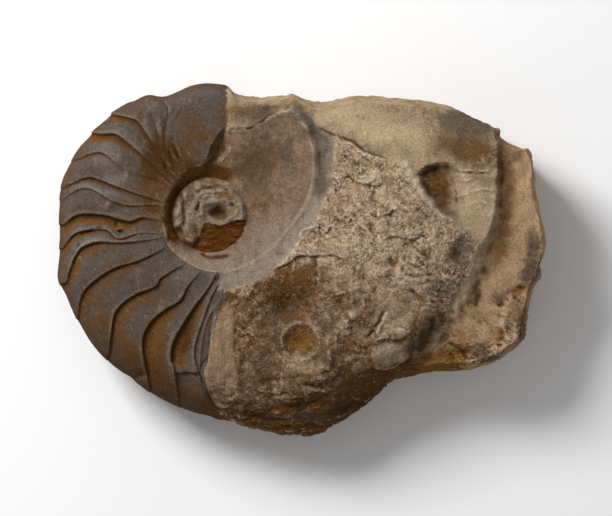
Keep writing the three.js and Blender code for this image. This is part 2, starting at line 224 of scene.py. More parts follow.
# Ridges (above 0) and grooves (below 0): height, half width, and their line.
STROKES = [
    (0.5, 1.2, [(-90.5, 80), (-93, 89.5), (-88, 96.5), (-89.5, 106)]),
    (0.6, 1.2, [(-83.5, 85), (-81.5, 94.5), (-77, 101.5), (-76, 108.5)]),
    (-0.8, 1.5, [(-87, 82), (-87.5, 91), (-83, 99), (-83, 107)]),
    (0.4, 1.1, [(-95.5, 72), (-100, 80), (-102.5, 92), (-100, 101.5)]),
    (-0.5, 1.0, [(-97.5, 76), (-103, 84), (-105.5, 93), (-103, 101)]),
    (1.5, 0.9, [(-90, 68.5), (-84.5, 59)]),
    (1.5, 0.9, [(-86.5, 76), (-81, 63)]),
    (1.3, 0.9, [(-83, 78), (-77.5, 66.5)]),
    (1.2, 0.9, [(-92, 63.5), (-88, 55.5)]),
    (-2.0, 1.1, [(-88.5, 73), (-82.5, 61)]),
    (-2.0, 1.1, [(-84.5, 77), (-79, 65)]),
    (-1.6, 1.0, [(-92, 67.5), (-86.5, 57)]),
    (0.6, 0.8, [(-63.5, 63.5), (-60.5, 74.5), (-55.5, 82.5), (-50.5, 88)]),
    (0.7, 0.8, [(-49, 87), (-47, 79), (-47, 71), (-54.5, 63)]),
    (0.5, 0.8, [(-50.5, 89), (-53, 95.5), (-51.5, 104), (-55, 113)]),
    (-1.6, 0.9, [(-146, 16.5), (-135.5, 20), (-127, 21.5)]),
    (-1.5, 1.0, [(-152, 2), (-146, 10), (-140, 14)]),
    (-2.2, 1.6, [(-123.5, 25), (-120, 24.5)]),
    (-1.8, 1.4, [(-120, 18.5), (-116, 19.5)]),
    (1.0, 1.6, [(-126, 24), (-121, 21), (-115, 23.5)]),
    (-1.2, 0.9, [(-48, 85), (-35, 86.5), (-27, 90), (-20.5, 94.5), (-14, 97)]),
    (0.5, 0.8, [(-47, 74.5), (-40, 72), (-35, 68.5)]),
    (1.1, 1.0, [(-70, 41), (-65, 44), (-60, 45.5), (-54, 45.3), (-49, 43.5)]),
    (-1.0, 0.8, [(-71, 43), (-65, 46.3), (-59, 47.6), (-52, 47.2), (-46, 44)]),
    (0.9, 1.0, [(-72, 45.5), (-65, 48.8), (-58, 50), (-51, 49.4)]),
    (1.2, 0.9, [(-66, 40), (-62, 42.3), (-58, 42.8), (-54, 41.6)]),
    (2.0, 1.4, [(-62.6, 26.6), (-57, 24.9), (-50, 26), (-44.2, 29.6), (-41.4, 34.6)]),
    (1.6, 1.2, [(-64.2, 39.4), (-66, 34), (-64.6, 29), (-62.9, 26)]),
    (-2.8, 1.0, [(-66.6, 39), (-68, 35), (-68.6, 31.5)]),
    (0.9, 1.8, [(-71.7, 31), (-73.6, 23), (-71.6, 16.5), (-69.5, 13)]),
    (-1.8, 0.9, [(-70.5, 30), (-75.5, 28.5)]),
    (-1.5, 1.2, [(-77.6, 45), (-77, 37), (-76.4, 28), (-77, 20)]),
    (-1.2, 1.2, [(-67, 5), (-60.4, 2.2), (-52.3, 2), (-46, 4.6)]),
    (-1.2, 1.0, [(9.5, 89), (22, 81.5), (30, 79.5), (37.5, 75.5), (42, 70.5)]),
    (1.3, 1.8, [(66, 66), (73, 54), (80, 41), (92, 29), (106, 23)]),
    (-0.9, 0.7, [(-55.4, -23), (-59.6, -41), (-60.6, -62), (-65, -69), (-66, -75), (-59.5, -92),
                 (-52.7, -101)]),
    (0.9, 0.8, [(100.5, 60), (111.5, 58.5), (123, 59)]),
    (-0.8, 0.8, [(101, 57.5), (111.5, 56.5), (122, 57)]),
    (0.9, 0.8, [(104, 51), (113, 55)]),
    (0.8, 0.8, [(95, 43.5), (104, 43), (117.5, 46.5), (127, 47)]),
    (0.8, 0.9, [(107, 36.5), (116.5, 38.5), (127.5, 36)]),
    (-0.7, 0.8, [(101, 48), (101, 37)]),
    (1.3, 1.0, [(19.5, 39.5), (24, 30.5), (29, 25), (33, 30.5)]),
    (1.6, 1.2, [(-1, 14), (0, 19), (5, 21.5), (10.5, 19), (9.5, 10)]),
    (-1.5, 0.8, [(9.5, 2.5), (9, -6), (10.5, -17.5)]),
    (-1.1, 1.0, [(34.5, -2.5), (35, -17.5)]),
    (-1.1, 1.0, [(40.5, -3.5), (41, -16)]),
    (3.0, 3.6, [(35, -33), (31, -39), (23, -47), (18, -58.5), (15, -74)]),
    (-1.9, 1.3, [(55, -31.5), (50, -41), (43.5, -51)]),
    (1.2, 0.8, [(56.5, -33), (52, -42), (48, -51)]),
    (-1.3, 1.4, [(64, -1), (68, -8.5), (75, -10.5), (83.5, -9), (95, -6)]),
    (1.2, 1.3, [(66, -12), (75, -14), (84, -12)]),
    (-1.6, 1.4, [(69, -17), (76.5, -23.5), (82, -27), (90, -27.5)]),
    (1.4, 1.3, [(76, -33), (81, -31), (86, -32)]),
    (-1.8, 0.9, [(60.5, -42.5), (66.5, -44.5), (70, -46.5)]),
    (-1.3, 0.9, [(33, -51), (38, -57), (45, -58.5)]),
    (-0.8, 0.7, [(-45, -33.5), (-34.5, -40)]),
    (-0.9, 0.7, [(-33, -22.5), (-24.5, -31.5), (-20, -37.5), (-14, -44.5)]),
    (-0.8, 0.8, [(-44, -38), (-43, -50), (-44, -62)]),
    (-1.8, 1.0, [(1.5, -80.5), (9.5, -82.5), (17, -84.5)]),
    (-1.0, 1.6, [(-43.5, -108.5), (-24.5, -110.5), (-7, -110.5), (11, -107)]),
    (1.2, 2.2, [(135, -31), (132, -43.5), (136, -54)]),
    (1.0, 2.0, [(140.5, -33), (139.5, -46), (145, -54)]),
    (-1.4, 2.4, [(126, -31), (132, -27.4), (140, -19.5), (148, -17)]),
    (-1.2, 1.5, [(130, -42), (131, -47), (134, -54)]),
    (-1.0, 1.6, [(116.5, -17), (115.8, -24), (114, -33)]),
    (1.8, 3.8, [(116, 4), (112.5, -8), (107.5, -21), (99, -40)]),
    (0.5, 0.9, [(-4, 93), (4, 86), (9.5, 76), (11, 62), (8, 46), (2, 34), (-6, 22)]),
    (-1.2, 1.0, [(120, -58), (127, -55.5), (134, -56)]),
    (-1.4, 1.1, [(96, -53), (104, -57), (109, -64), (120, -66)]),
    (-1.0, 1.3, [(72, -17), (79, -14), (88, -14)]),
    (-1.2, 1.5, [(83, -36), (86, -42), (83, -50)]),
]

# Broken ledges: step, how far its high side and its low side reach, and the ledge's line with
# the high side on its left.
LEDGES = [
    (1.7, 9, 18, [(-22, -10), (-15, -4.5), (-8, -1.5), (-1, 2.5), (9.5, 3.5), (17.5, 3.5),
                  (25.5, 2), (33, -3)]),
    (0.9, 5, 9, [(6, -27), (15, -24.5), (24, -22.5), (38, -19), (45, -18)]),
    (2.4, 8, 10, [(-85, -74.3), (-76.5, -73.8), (-66, -72.5)]),
    (0.9, 9, 10, [(-43, -84), (-30.5, -84.5), (-21, -88.5), (-9, -86), (8, -86.5), (26, -88)]),
    (1.6, 6, 8, [(44, -66), (49, -71), (57, -71.5), (66, -68), (73, -60)]),
    (1.4, 6, 8, [(46, -54), (56, -51.5), (66, -50.5), (75, -43)]),
    (1.8, 5, 7, [(22, 82), (29, 79.5), (38.5, 73), (49, 67.5), (62, 64.5)][::-1]),
    (1.6, 4, 6, [(24, 52), (30, 55), (40, 50), (52, 54)]),
    (1.4, 4, 6, [(40, 32), (52, 29), (62, 34), (74, 30)]),
    (1.4, 4, 6, [(52, 12), (60, 16), (72, 14), (84, 18)]),
]

# Hollows (above 0) and swellings (below 0): depth, x, y, half length, half width, degrees.
DENTS = [
    (4.6, -1, -52, 9.5, 9, 0), (3.5, -9, -29, 15, 9, 25), (5.0, -54.8, 30.4, 7.4, 4.6, 4),
    (1.2, 146, -18, 7, 4, 20), (1.0, 132.5, -50, 6, 4, 70), (2.0, 104, -60, 8, 4, 20),
    (-1.6, 112, -54, 7, 4, 0), (-1.4, 128, -62, 7, 3.5, 10), (-1.8, 48, -9.5, 4.5, 4.5, 0),
    (-2.0, -80.2, 31.5, 2.4, 2.4, 0), (-2.0, -80, 24.2, 2.4, 2.2, 0),
    (-1.4, -75.8, 43, 1.8, 3.4, -10), (2.4, -79.4, 19.6, 3.0, 2.2, 120),
    (-1.8, -73.5, 13.4, 3.4, 1.6, -10), (1.8, -69, 20, 2.4, 5, 10),
    (-3.2, -58.4, 38.4, 4.6, 2.2, 6), (1.6, -45.7, 36.2, 2.2, 1.6, 0),
    (1.2, -54.5, 49.6, 2.4, 1.0, -10), (1.4, 27, 66, 5, 4, 0), (1.6, 47, 44, 6, 4, 30),
    (2.0, 24, 26, 5, 4, 0), (1.6, 66, 22, 6, 4, 10), (2.0, 60, -2, 5, 3.5, 0),
    (2.5, 101, 3, 7, 4, 60), (-2.5, -126, 36.5, 3.5, 2.4, 20), (2.2, -107.5, -75.5, 5, 2.4, 10),
    (2.0, -20, -78, 7, 3, 10), (-2.0, 12, -76, 9, 3.5, 5),
]

# Colour patches: strength, x, y, half length, half width, degrees.
# Grey-black stains; the patches along the east edge of the crumbled rock and on the lower rounding
# are painted shade.
DARK_STAIN_AND_SHADE_PATCHES = [
    (0.8, 102, 1, 10, 8, 60), (0.8, 90, -18, 11, 7, 20), (0.8, 84, -46, 11, 7, 45),
    (0.7, 72, -58, 10, 4.5, 35), (0.7, 105, 12, 8, 8, 0), (0.4, 106, 91, 10, 6, 0),
    (0.85, 116, 87, 15, 8, -28), (0.75, 98, 90, 15, 8, -12), (0.8, 152, 12, 5, 10, 0),
    (0.9, 151, -4, 6, 9, 0), (0.8, 148, -11, 6, 5, 0), (0.8, 118, -59, 8, 6, 50),
    (0.4, -20, 71, 14, 15, 0), (0.6, -27, 49, 9, 10, 0), (0.5, -8, 68, 6, 12, 0),
    (0.6, -7, -97, 36, 7, 0), (0.6, -2, 97, 11, 4, -50), (0.7, 9, 85, 9, 6, -35),
    (0.65, 13, 66, 7, 15, 0), (0.6, 13, 48, 6, 9, -10), (0.4, -30, 92, 22, 8, 8),
    (0.4, -25, 100, 14, 4, 0), (0.6, -20, -42, 10, 12, 0), (0.5, -26, -64, 12, 9, 0),
    (0.6, 18, -40, 8, 12, 20), (0.6, 127, -64, 10, 5, 10), (0.5, 145, -52, 6, 8, 20),
    (0.6, 128, -24, 5, 6, 0), (0.5, 37, -10, 7, 9, 0), (0.5, 17, -70, 8, 9, 20),
    (0.5, 35, 80, 12, 4, -30), (0.6, -58, 31, 6, 5, 0), (0.4, 55, 48, 10, 5, -20),
    (0.4, 70, 12, 9, 7, 0), (0.5, -8, -30, 9, 7, 0), (0.7, 6, -104, 12, 3, 4),
    (0.6, -20, -104, 7, 3, 0), (0.5, 30, -98, 7, 3, 30), (0.4, -37, 60, 9, 10, 0),
    (0.65, -97, 64, 8, 12, -20), (0.4, -92, -40, 20, 8, 30),
]
# Brown stains; the patches along the scarp, round the bowl's upper left, at the inner ends of the
# upper plates and on the lower rounding are painted shade.
UMBER_AND_SHADE_PATCHES = [
    (0.6, -2, -10, 22, 9, 12), (0.7, -34, 97, 24, 8, 0), (0.25, -18, 72, 20, 18, 0),
    (0.75, -10, -104, 62, 11, 0), (0.9, 30, -92, 40, 12, 30), (0.5, -20, -52, 30, 26, 0),
    (0.6, -8, -22, 20, 12, 10), (0.5, 20, -60, 20, 14, 40), (0.7, 70, -74, 34, 7, 12),
    (0.4, -60, -90, 26, 12, -18), (0.9, 103, 75, 24, 12, -8), (0.6, 120, 66, 12, 9, 0),
    (0.42, -128, -28, 16, 24, 40), (0.5, -108, -62, 22, 14, -45), (0.42, -76, 96, 12, 16, 0),
    (0.45, -118, -6, 20, 10, 10), (0.5, -54, 73, 5, 14, -30), (0.6, -64, 80, 12, 8, 0),
    (0.5, -26, 66, 18, 13, 0), (0.5, -30, 40, 16, 14, 0), (0.6, 10, -98, 30, 10, 10),
    (0.5, 86, 52, 10, 9, 0), (0.3, -36, 60, 9, 10, 0), (0.4, -136, -42, 10, 9, 0),
    (0.5, -8, -32, 10, 8, 0), (0.3, -50, 98, 5, 12, 0), (0.9, -92, -59, 5, 12, -12),
    (0.7, 142, -38, 9, 14, 0), (0.3, 56, -35, 16, 12, 0), (0.35, 0, -8, 16, 8, 0),
    (0.4, 20, 100, 8, 3, 10), (0.4, 60, 98, 6, 4, 0), (0.45, -50, 14, 15, 9, 10),
    (0.8, -73, 13, 7, 7, 0), (0.6, 40, -84, 26, 8, 35), (0.8, 134, 45, 6, 32, 0),
    (0.7, 128, 8, 7, 22, -15), (0.6, 114, -26, 6, 12, 0), (0.7, 104, -60, 20, 6, 10),
    (0.6, 146, -18, 7, 5, 20), (1.0, -95, 58, 9, 20, -20), (0.9, -80, 66, 10, 6, 60),
    (0.9, -88, 54, 8, 7, 45), (0.5, -100, -70, 30, 7, -38), (0.6, -75, 60, 14, 9, 30),
    (0.7, -60, 57, 20, 5, 0), (0.8, -91, 42, 6, 20, 0), (0.5, -97, 30, 7, 14, 0),
]
OCHRE_PATCHES = [
    (1.0, -49.5, 42, 4.6, 2, 0), (0.35, -76, -50, 7, 12, -30), (0.5, -98, -46, 6, 12, -20),
    (0.5, -120, -40, 6, 12, -20), (0.3, -84, 68, 5, 9, 25), (1.3, -2, -50.5, 8, 7.5, 0),
    (0.6, 106, -50, 16, 10, 0), (0.9, -15, -98, 9, 3.5, 0), (0.9, 8, -96, 10, 3.5, 0),
    (0.7, -12, -109, 24, 3, 0), (0.7, 94, -67, 16, 6, 5), (0.4, -10, -10, 16, 7, 25),
    (0.3, 0, -9, 14, 7, 0), (0.7, 143, -20, 7, 5, 25), (0.4, 144, -38, 6, 12, 0),
    (0.7, 130, -48, 6, 5, 70), (0.5, 92, -62, 14, 5, 10), (0.6, 49, -40, 3, 8, -30),
    (0.5, 80, -6, 9, 2.5, 10), (0.5, 40, -58, 8, 3, 0), (0.4, 60, -92, 30, 5, 35),
    (0.4, -70, -84, 12, 9, -20), (0.6, 92, -70, 16, 5, 5), (0.5, 90, 52, 8, 9, 0),
]
PALE_PATCHES = [
    (0.5, 60, 6, 26, 12, 10), (0.5, 24, 14, 14, 9, 30), (0.4, 46, 52, 12, 6, -35),
    (0.6, 80, -34, 6, 5, 0), (0.5, 74, -13, 8, 3, 0), (0.5, 118, 2, 5, 16, -25),
    (0.8, 28, 96, 20, 7, 0), (0.9, 50, 84, 22, 9, -10), (0.6, 78, 78, 12, 14, 0),
    (0.7, 112, 47, 12, 7, 0), (0.5, 116, 36, 10, 6, 0), (0.3, 106, -47, 13, 8, 0),
    (0.9, 82, 41, 15, 1.8, -53), (0.35, 58, -31, 14, 10, -20), (0.45, 58, -61, 12, 7, -10),
    (0.6, 42, 54, 14, 12, 0), (0.5, 78, 18, 13, 12, 0), (0.5, 65, 62, 8, 8, 0),
    (0.8, 4, -69, 15, 5, 4), (0.5, 55, -66, 8, 4, 0), (0.4, 142, 60, 8, 14, 0),
    (0.3, -30, -3, 22, 4, 38), (0.4, -94, -38, 5, 11, -30), (0.6, -2, -66, 12, 5, 0),
    (0.5, 24, -46, 5, 14, -30), (1.0, 107, -18, 4, 19, -20), (0.4, 146, 36, 6, 14, 0),
    (0.5, 138, -6, 8, 14, 0), (0.5, 118, -44, 12, 8, 0),
]

# Darkest soil; the patches at the inner ends of the upper plates, round the bowl's upper left and
# along the foot of the lower rounding are painted shade.
SOIL_AND_SHADE_PATCHES = [
    (1.2, -97, 64, 8, 15, -20), (0.8, -84, 54, 6, 4, 45), (0.8, -91, 76, 7, 10, -30),
    (0.7, -99, 34, 7, 8, 0), (0.9, -84, 66, 5, 10, -30), (0.7, -70, 62, 14, 5, 10),
    (0.9, -67.5, 35, 1.6, 4, 0), (0.9, -79.5, 19.5, 3.4, 2.6, 0), (0.6, -76.5, 38, 1.6, 5, 0),
    (0.8, -57, 33, 6, 3, 6), (0.6, -45.7, 36, 2.2, 1.8, 0), (0.7, -57, 2.4, 10, 1.6, 0),
    (1.2, -75, -51, 4, 11, -10), (0.6, -98, -44, 3, 12, -20), (0.6, -6, -97, 26, 4, 4),
    (0.8, 4, -92, 14, 4, 6), (0.7, -34, -102, 16, 5, -14), (0.7, 34, -96, 18, 4, 34),
    (0.8, 84, 60, 9, 4, 20), (0.6, 92, 44, 4, 6, 0), (0.6, 132, -48, 3, 8, 20),
    (0.7, 74, -68, 16, 4, 30), (0.8, -14, -27, 9, 6, 20), (0.5, 55, -50, 6, 4, 0),
    (0.35, 60, -33, 10, 8, 0), (0.6, 78, 4, 5, 4, 0), (0.5, 34, 62, 6, 4, -30),
    (0.4, 58, 32, 7, 4, 20), (0.5, 146, -50, 3, 9, 0), (0.4, -66, 22, 5, 5, 0),
    (0.4, -42, 22, 4, 6, 0), (0.6, -145, 34, 10, 4, 10), (0.5, 96, -74, 20, 4, 4),
]
# Grey bloom; the patches on the upper plates of the shell are painted sheen.
BLOOM_AND_SHEEN_PATCHES = [
    (0.8, -127, 69, 10, 9, 40), (0.8, -121, 53, 9, 5, 0), (0.8, -133, 46, 20, 3, -15),
    (0.8, -138, 12, 15, 4, 25), (0.5, -78, -8, 16, 8, 20), (0.6, -30, 94, 8, 5, 10),
    (0.6, -36, -12, 18, 4, 25), (0.5, 40, 92, 6, 4, 0), (0.5, 72, 96, 5, 5, 0),
    (0.6, 99, 28, 9, 4, -30), (0.6, 70, 52, 3, 6, 30), (0.5, 40, 40, 6, 4, -30),
    (0.5, 16, -58, 5, 10, 10), (0.5, -58, -30, 5, 3, 40), (0.5, 52, 72, 8, 4, -10),
    (0.5, 66, 70, 5, 7, 0),
]

# Where the smooth bed breaks up into crags, in the same form.
CRAGS = [
    (1.2, 112, -64, 36, 11, 10), (0.9, 153, -2, 7, 24, 0), (1.1, 144, -40, 9, 22, 5),
    (0.7, 100, -52, 14, 8, 40), (0.6, 128, -36, 14, 10, 0), (0.4, 118, 90, 14, 6, -28),
    (0.9, 89, 48, 11, 13, 0),
]

PATCHES = {"dark_stain_and_shade": DARK_STAIN_AND_SHADE_PATCHES, "umber_and_shade": UMBER_AND_SHADE_PATCHES, "ochre": OCHRE_PATCHES,
           "pale": PALE_PATCHES, "soil_and_shade_spots": SOIL_AND_SHADE_PATCHES, "bloom_and_sheen": BLOOM_AND_SHEEN_PATCHES}

# ---- maths on whole arrays ------------------------------------------------------------------


def smooth(value, low, high):
    """0 at low and below, 1 at high and above, and 3t^2 - 2t^3 between them."""
    t = np.clip((value - low) / (high - low), 0.0, 1.0)
    return t * t * (3.0 - 2.0 * t)


def bell(value, width):
    """1 at 0, dying away on both sides as exp of minus the square of value over width."""
    return np.exp(-((value / width) ** 2))


def curve(points, closed=False, per_step=6):
    """Smooth line through points: Catmull-Rom, where each stretch between two points is a
    cubic whose slopes at its ends are half the step from the point before to the one after."""
    p = np.asarray(points, dtype=float)
    if closed:
        p = np.vstack([p[-1:], p, p[:2]])
    else:
        p = np.vstack([2 * p[:1] - p[1:2], p, 2 * p[-1:] - p[-2:-1]])
    t = (np.arange(per_step) / per_step)[None, :, None]
    a, b, c, d = (p[k:len(p) - 3 + k, None, :] for k in range(4))
    cubic = 0.5 * (2 * b + (c - a) * t + (2 * a - 5 * b + 4 * c - d) * t**2
                   + (3 * b - a - 3 * c + d) * t**3)
    line = cubic.reshape(-1, p.shape[1])
    return line if closed else np.vstack([line, p[-2:-1]])


def to_line(p, line):
    """Distance from each point to a run of straight stretches, positive on its left-hand
    side, and how far along the run the nearest place is, in millimetres."""
    nearest = np.full(len(p), np.inf)
    along = np.zeros(len(p))
    side = np.ones(len(p))
    start = 0.0
    for a, step in zip(line[:-1], np.diff(line, axis=0)):
        length = np.hypot(*step)
        offset = p - a
        t = np.clip(offset @ step / length**2, 0.0, 1.0)
        gap = offset - t[:, None] * step
        distance = np.hypot(gap[:, 0], gap[:, 1])
        closer = distance < nearest
        nearest = np.where(closer, distance, nearest)
        along = np.where(closer, start + t * length, along)
        left = step[0] * offset[:, 1] - step[1] * offset[:, 0] >= 0
        side = np.where(closer, np.where(left, 1.0, -1.0), side)
        start += length
    return nearest * side, along


def beside(p, line, reach):
    """Whether each point lies in the box round a line, grown by reach."""
    return ((p > line.min(axis=0) - reach) & (p < line.max(axis=0) + reach)).all(axis=1)


def depth_inside(p, polygon, reach=30.0):
    """Distance from each point to a closed outline, positive inside it. Points further than
    reach outside its box are simply that far out."""
    corners = np.asarray(polygon, dtype=float)
    near = beside(p, corners, reach)
    q = p[near]
    inside = np.zeros(len(q), dtype=bool)
    for a, b in zip(corners, np.roll(corners, -1, axis=0)):
        if a[1] != b[1]:
            crossing = a[0] + (q[:, 1] - a[1]) * (b[0] - a[0]) / (b[1] - a[1])
            inside ^= ((a[1] > q[:, 1]) != (b[1] > q[:, 1])) & (q[:, 0] < crossing)
    distance = np.abs(to_line(q, np.vstack([corners, corners[:1]]))[0])
    depth = np.full(len(p), -reach)
    depth[near] = np.where(inside, distance, -distance)
    return depth


def around(table, degrees, column):
    """A column of a table whose first column is degrees, straight from row to row."""
    return np.interp(degrees % 360.0, table[:, 0], table[:, column])


def patch(p, x, y, half_length, half_width, degrees):
    """1 in the middle of an ellipse, falling off as exp of minus the squared distance from it
    counted in half lengths and half widths."""
    turn = math.radians(degrees)
    offset = p - (x, y)
    u = (offset[:, 0] * math.cos(turn) + offset[:, 1] * math.sin(turn)) / half_length
    v = (offset[:, 1] * math.cos(turn) - offset[:, 0] * math.sin(turn)) / half_width
    return np.exp(-np.minimum(u * u + v * v, 30.0))


def patched(p, patches):
    """Sum of patches times their strengths, 0 to 1."""
    layers = [strength * patch(p, *ellipse) for strength, *ellipse in patches]
    return np.clip(sum(layers), 0.0, 1.0)


def hashed(cell, seed):
    """A repeatable whole number for each lattice cell: its coordinates times large odd
    numbers, added up and mixed by shifts and exclusive-ors."""
    n = np.full(cell.shape[:-1], seed * 0x9E3779B1 & 0xFFFFFFFF, dtype=np.uint32)
    for axis, factor in zip(range(cell.shape[-1]), (0x85EBCA6B, 0xC2B2AE35, 0x27D4EB2F)):
        n = (n ^ cell[..., axis].astype(np.uint32)) * np.uint32(factor)
        n ^= n >> np.uint32(15)
    n *= np.uint32(0x2C1B3C6D)
    return n ^ (n >> np.uint32(13))


def noise(p, size, seed):
    """Gradient noise, about -1 to 1: every lattice corner has a random slope, and the four
    slopes round a point are mixed by 6t^5 - 15t^4 + 10t^3 across the cell."""
    q = p / size
    cell = np.floor(q).astype(np.int64)
    t = q - cell
    fade = t * t * t * (t * (t * 6.0 - 15.0) + 10.0)
    total = np.zeros(len(p))
    for corner in itertools.product((0, 1), repeat=2):
        bearing = hashed(cell + corner, seed) * (2.0 * math.pi / 2**32)
        offset = t - corner
        slope = offset[:, 0] * np.cos(bearing) + offset[:, 1] * np.sin(bearing)
        weight = np.where(corner, fade, 1.0 - fade).prod(axis=1)
        total += weight * slope
    return total * 1.6


def rough_noise(p, size, seed, octaves=3):
    """Octaves of noise, each half the size and half the height of the one before."""
    return sum(noise(p, size / 2**k, seed + k) / 2**k for k in range(octaves))


def ridged(p, size, seed, octaves=3):
    """Thin sharp ridges, -1 to 1: octaves of 1 minus twice the size of the noise."""
    rise = sum((1 - 2.4 * np.abs(noise(p, size / 2**k, seed + k))) / 2**k for k in range(octaves))
    return rise / (2 - 0.5 ** (octaves - 1))


def flakes(p, size, seed):
    """Broken flakes, about -1 to 1: each point takes the height and tilt of the nearest of
    many scattered centres, so neighbouring flakes meet in small cliffs. The second result is
    the distance to the flake's edge in flake sizes."""
    q = p / size
    cell = np.floor(q).astype(np.int64)
    nearest = np.full(len(p), np.inf)
    second = np.full(len(p), np.inf)
    height = np.zeros(len(p))
    for step in itertools.product((-1, 0, 1), repeat=2):
        place = cell + step
        n = hashed(place, seed)
        jitter = np.stack([n & 1023, (n >> 10) & 1023], axis=-1) / 1023.0
        offset = q - place - 0.1 - 0.8 * jitter
        distance = (offset**2).sum(axis=1)
        bearing = (n >> 20) * (2.0 * math.pi / 4096)
        tilt = offset[:, 0] * np.cos(bearing) + offset[:, 1] * np.sin(bearing)
        level = (hashed(place, seed + 1) & 1023) / 1023.0 - 0.5
        closer = distance < nearest
        second = np.where(closer, nearest, np.minimum(second, distance))
        height = np.where(closer, level + 1.1 * tilt, height)
        nearest = np.where(closer, distance, nearest)
    return height, np.sqrt(second) - np.sqrt(nearest)


# ---- the stone ------------------------------------------------------------------------------


class Places:
    """Where every point of the skin is: plan is its place seen from above, carried on outwards
    down the wall, skin the same but measured along the surface, and radius and degrees its
    plan place round the umbilicus."""

    def __init__(self, plan, skin):
        self.plan = plan
        self.skin = skin
        offset = plan - UMBILICUS
        self.radius = np.hypot(offset[:, 0], offset[:, 1])
        self.turn = np.arctan2(offset[:, 1], offset[:, 0])
        self.degrees = np.degrees(self.turn) % 360.0
        self.wander = np.stack([rough_noise(skin, 9.0, seed, 3) for seed in (31, 37)], axis=-1)


def rib_lines(radius):
    """Bearing of every rib line at each radius, kept in order round the coil."""
    rows = [np.interp(radius, *curve(stations).T[:2]) for _, stations in RIBS]
    return np.maximum.accumulate(rows, axis=0)


def flank_depth(at, lines):
    """Distance inside the ribbed flank, between its first and last rib lines."""
    arc = np.radians(np.minimum(at.degrees - lines[0], lines[-1] - at.degrees))
    return arc * at.radius


def rib_relief(at, lines, depth_scale):
    """Saw-tooth of the flank. Past each line the plate starts low by the line's drop and comes
    back to its full height as a smooth step across it, and its far edge has a small lip. The
    second result marks the groove at the foot of each drop."""
    relief = np.zeros(len(at.radius))
    groove = np.zeros(len(at.radius))
    for k, (low_share, stations) in enumerate(RIBS[:-1]):
        on_plate = (at.degrees >= lines[k]) & (at.degrees < lines[k + 1])
        radius = at.radius[on_plate]
        drop = np.interp(radius, *curve(stations).T[::2])
        behind = np.radians(at.degrees[on_plate] - lines[k][on_plate]) * radius
        ahead = np.radians(lines[k + 1][on_plate] - at.degrees[on_plate]) * radius
        across = behind / np.maximum(behind + ahead, 1e-6)
        low = 1.0 - smooth(across, 0.5 * low_share, min(1.6 * low_share + 0.5, 1.25))
        lip = PLATE_LIP * bell(ahead, LIP_WIDTH) * smooth(drop, 1.5, 5.0)
        relief[on_plate] = lip - drop * low * smooth(behind, 0.0, 1.0)
        groove[on_plate] = bell(behind - 0.7, 0.85) * smooth(drop, 0.2, 2.4)
    rim = around(BOWL_RIM, at.degrees, 1)
    faded = smooth(at.radius, rim - 2.0, rim + 5.0)
    return relief * depth_scale * faded, groove * faded


def spot_level(p, spots):
    """Mean of the spot heights, each weighted by exp of minus its squared distance over twice
    the squared spread; a tiny share for all keeps far places level."""
    total = np.zeros(len(p))
    weights = np.full(len(p), 1e-9)
    total += weights * spots[:, 2].mean()
    for x, y, level in spots:
        squared = (p[:, 0] - x) ** 2 + (p[:, 1] - y) ** 2
        weight = np.exp(-squared / (2 * SPOT_SPREAD**2)) + 1e-7
        total += weight * level
        weights += weight
    return total / weights


def terrace_share(at):
    """1 on the lower terrace of the boss and 0 off it, with an uneven edge."""
    return smooth(depth_inside(at.plan + 1.1 * at.wander, BOSS_TERRACE), -1.2, 1.0)


def boss_level(at, top):
    """The boss of broken inner whorls: a dome whose edge falls as a power of the way out, a
    lower terrace of thin beds at its lower right, and a lumpy surface."""
    share = np.clip(at.radius / BOSS_RADIUS, 0.0, 1.0)
    dome = SEAM_LEVEL + (top - SEAM_LEVEL) * (1.0 - share**2.6) ** 0.55
    terrace = terrace_share(at)
    inside = 1.0 - share**6
    lumps = (0.3 * rough_noise(at.plan + 0.5 * at.wander, 4.5, 5)
             + 0.35 * ridged(at.plan * (0.6, 1.2) + at.wander, 4.0, 7, 2)) * inside
    lower_side = smooth(-np.sin(at.turn - 0.9), -0.7, 0.3)
    outer_rim = 1.3 * bell(at.radius - BOSS_RIM_RADIUS, 1.8) * lower_side
    dish = -1.2 * (1.0 - smooth(share, 0.6, 0.85))
    beds = 0.9 * rough_noise(at.plan * (0.3, 1.0) + 0.9 * at.wander, 2.8, 9, 2)
    upper = lumps + (outer_rim + dish) * (1.0 - terrace)
    return dome + upper + terrace * (beds - TERRACE_DROP * inside)


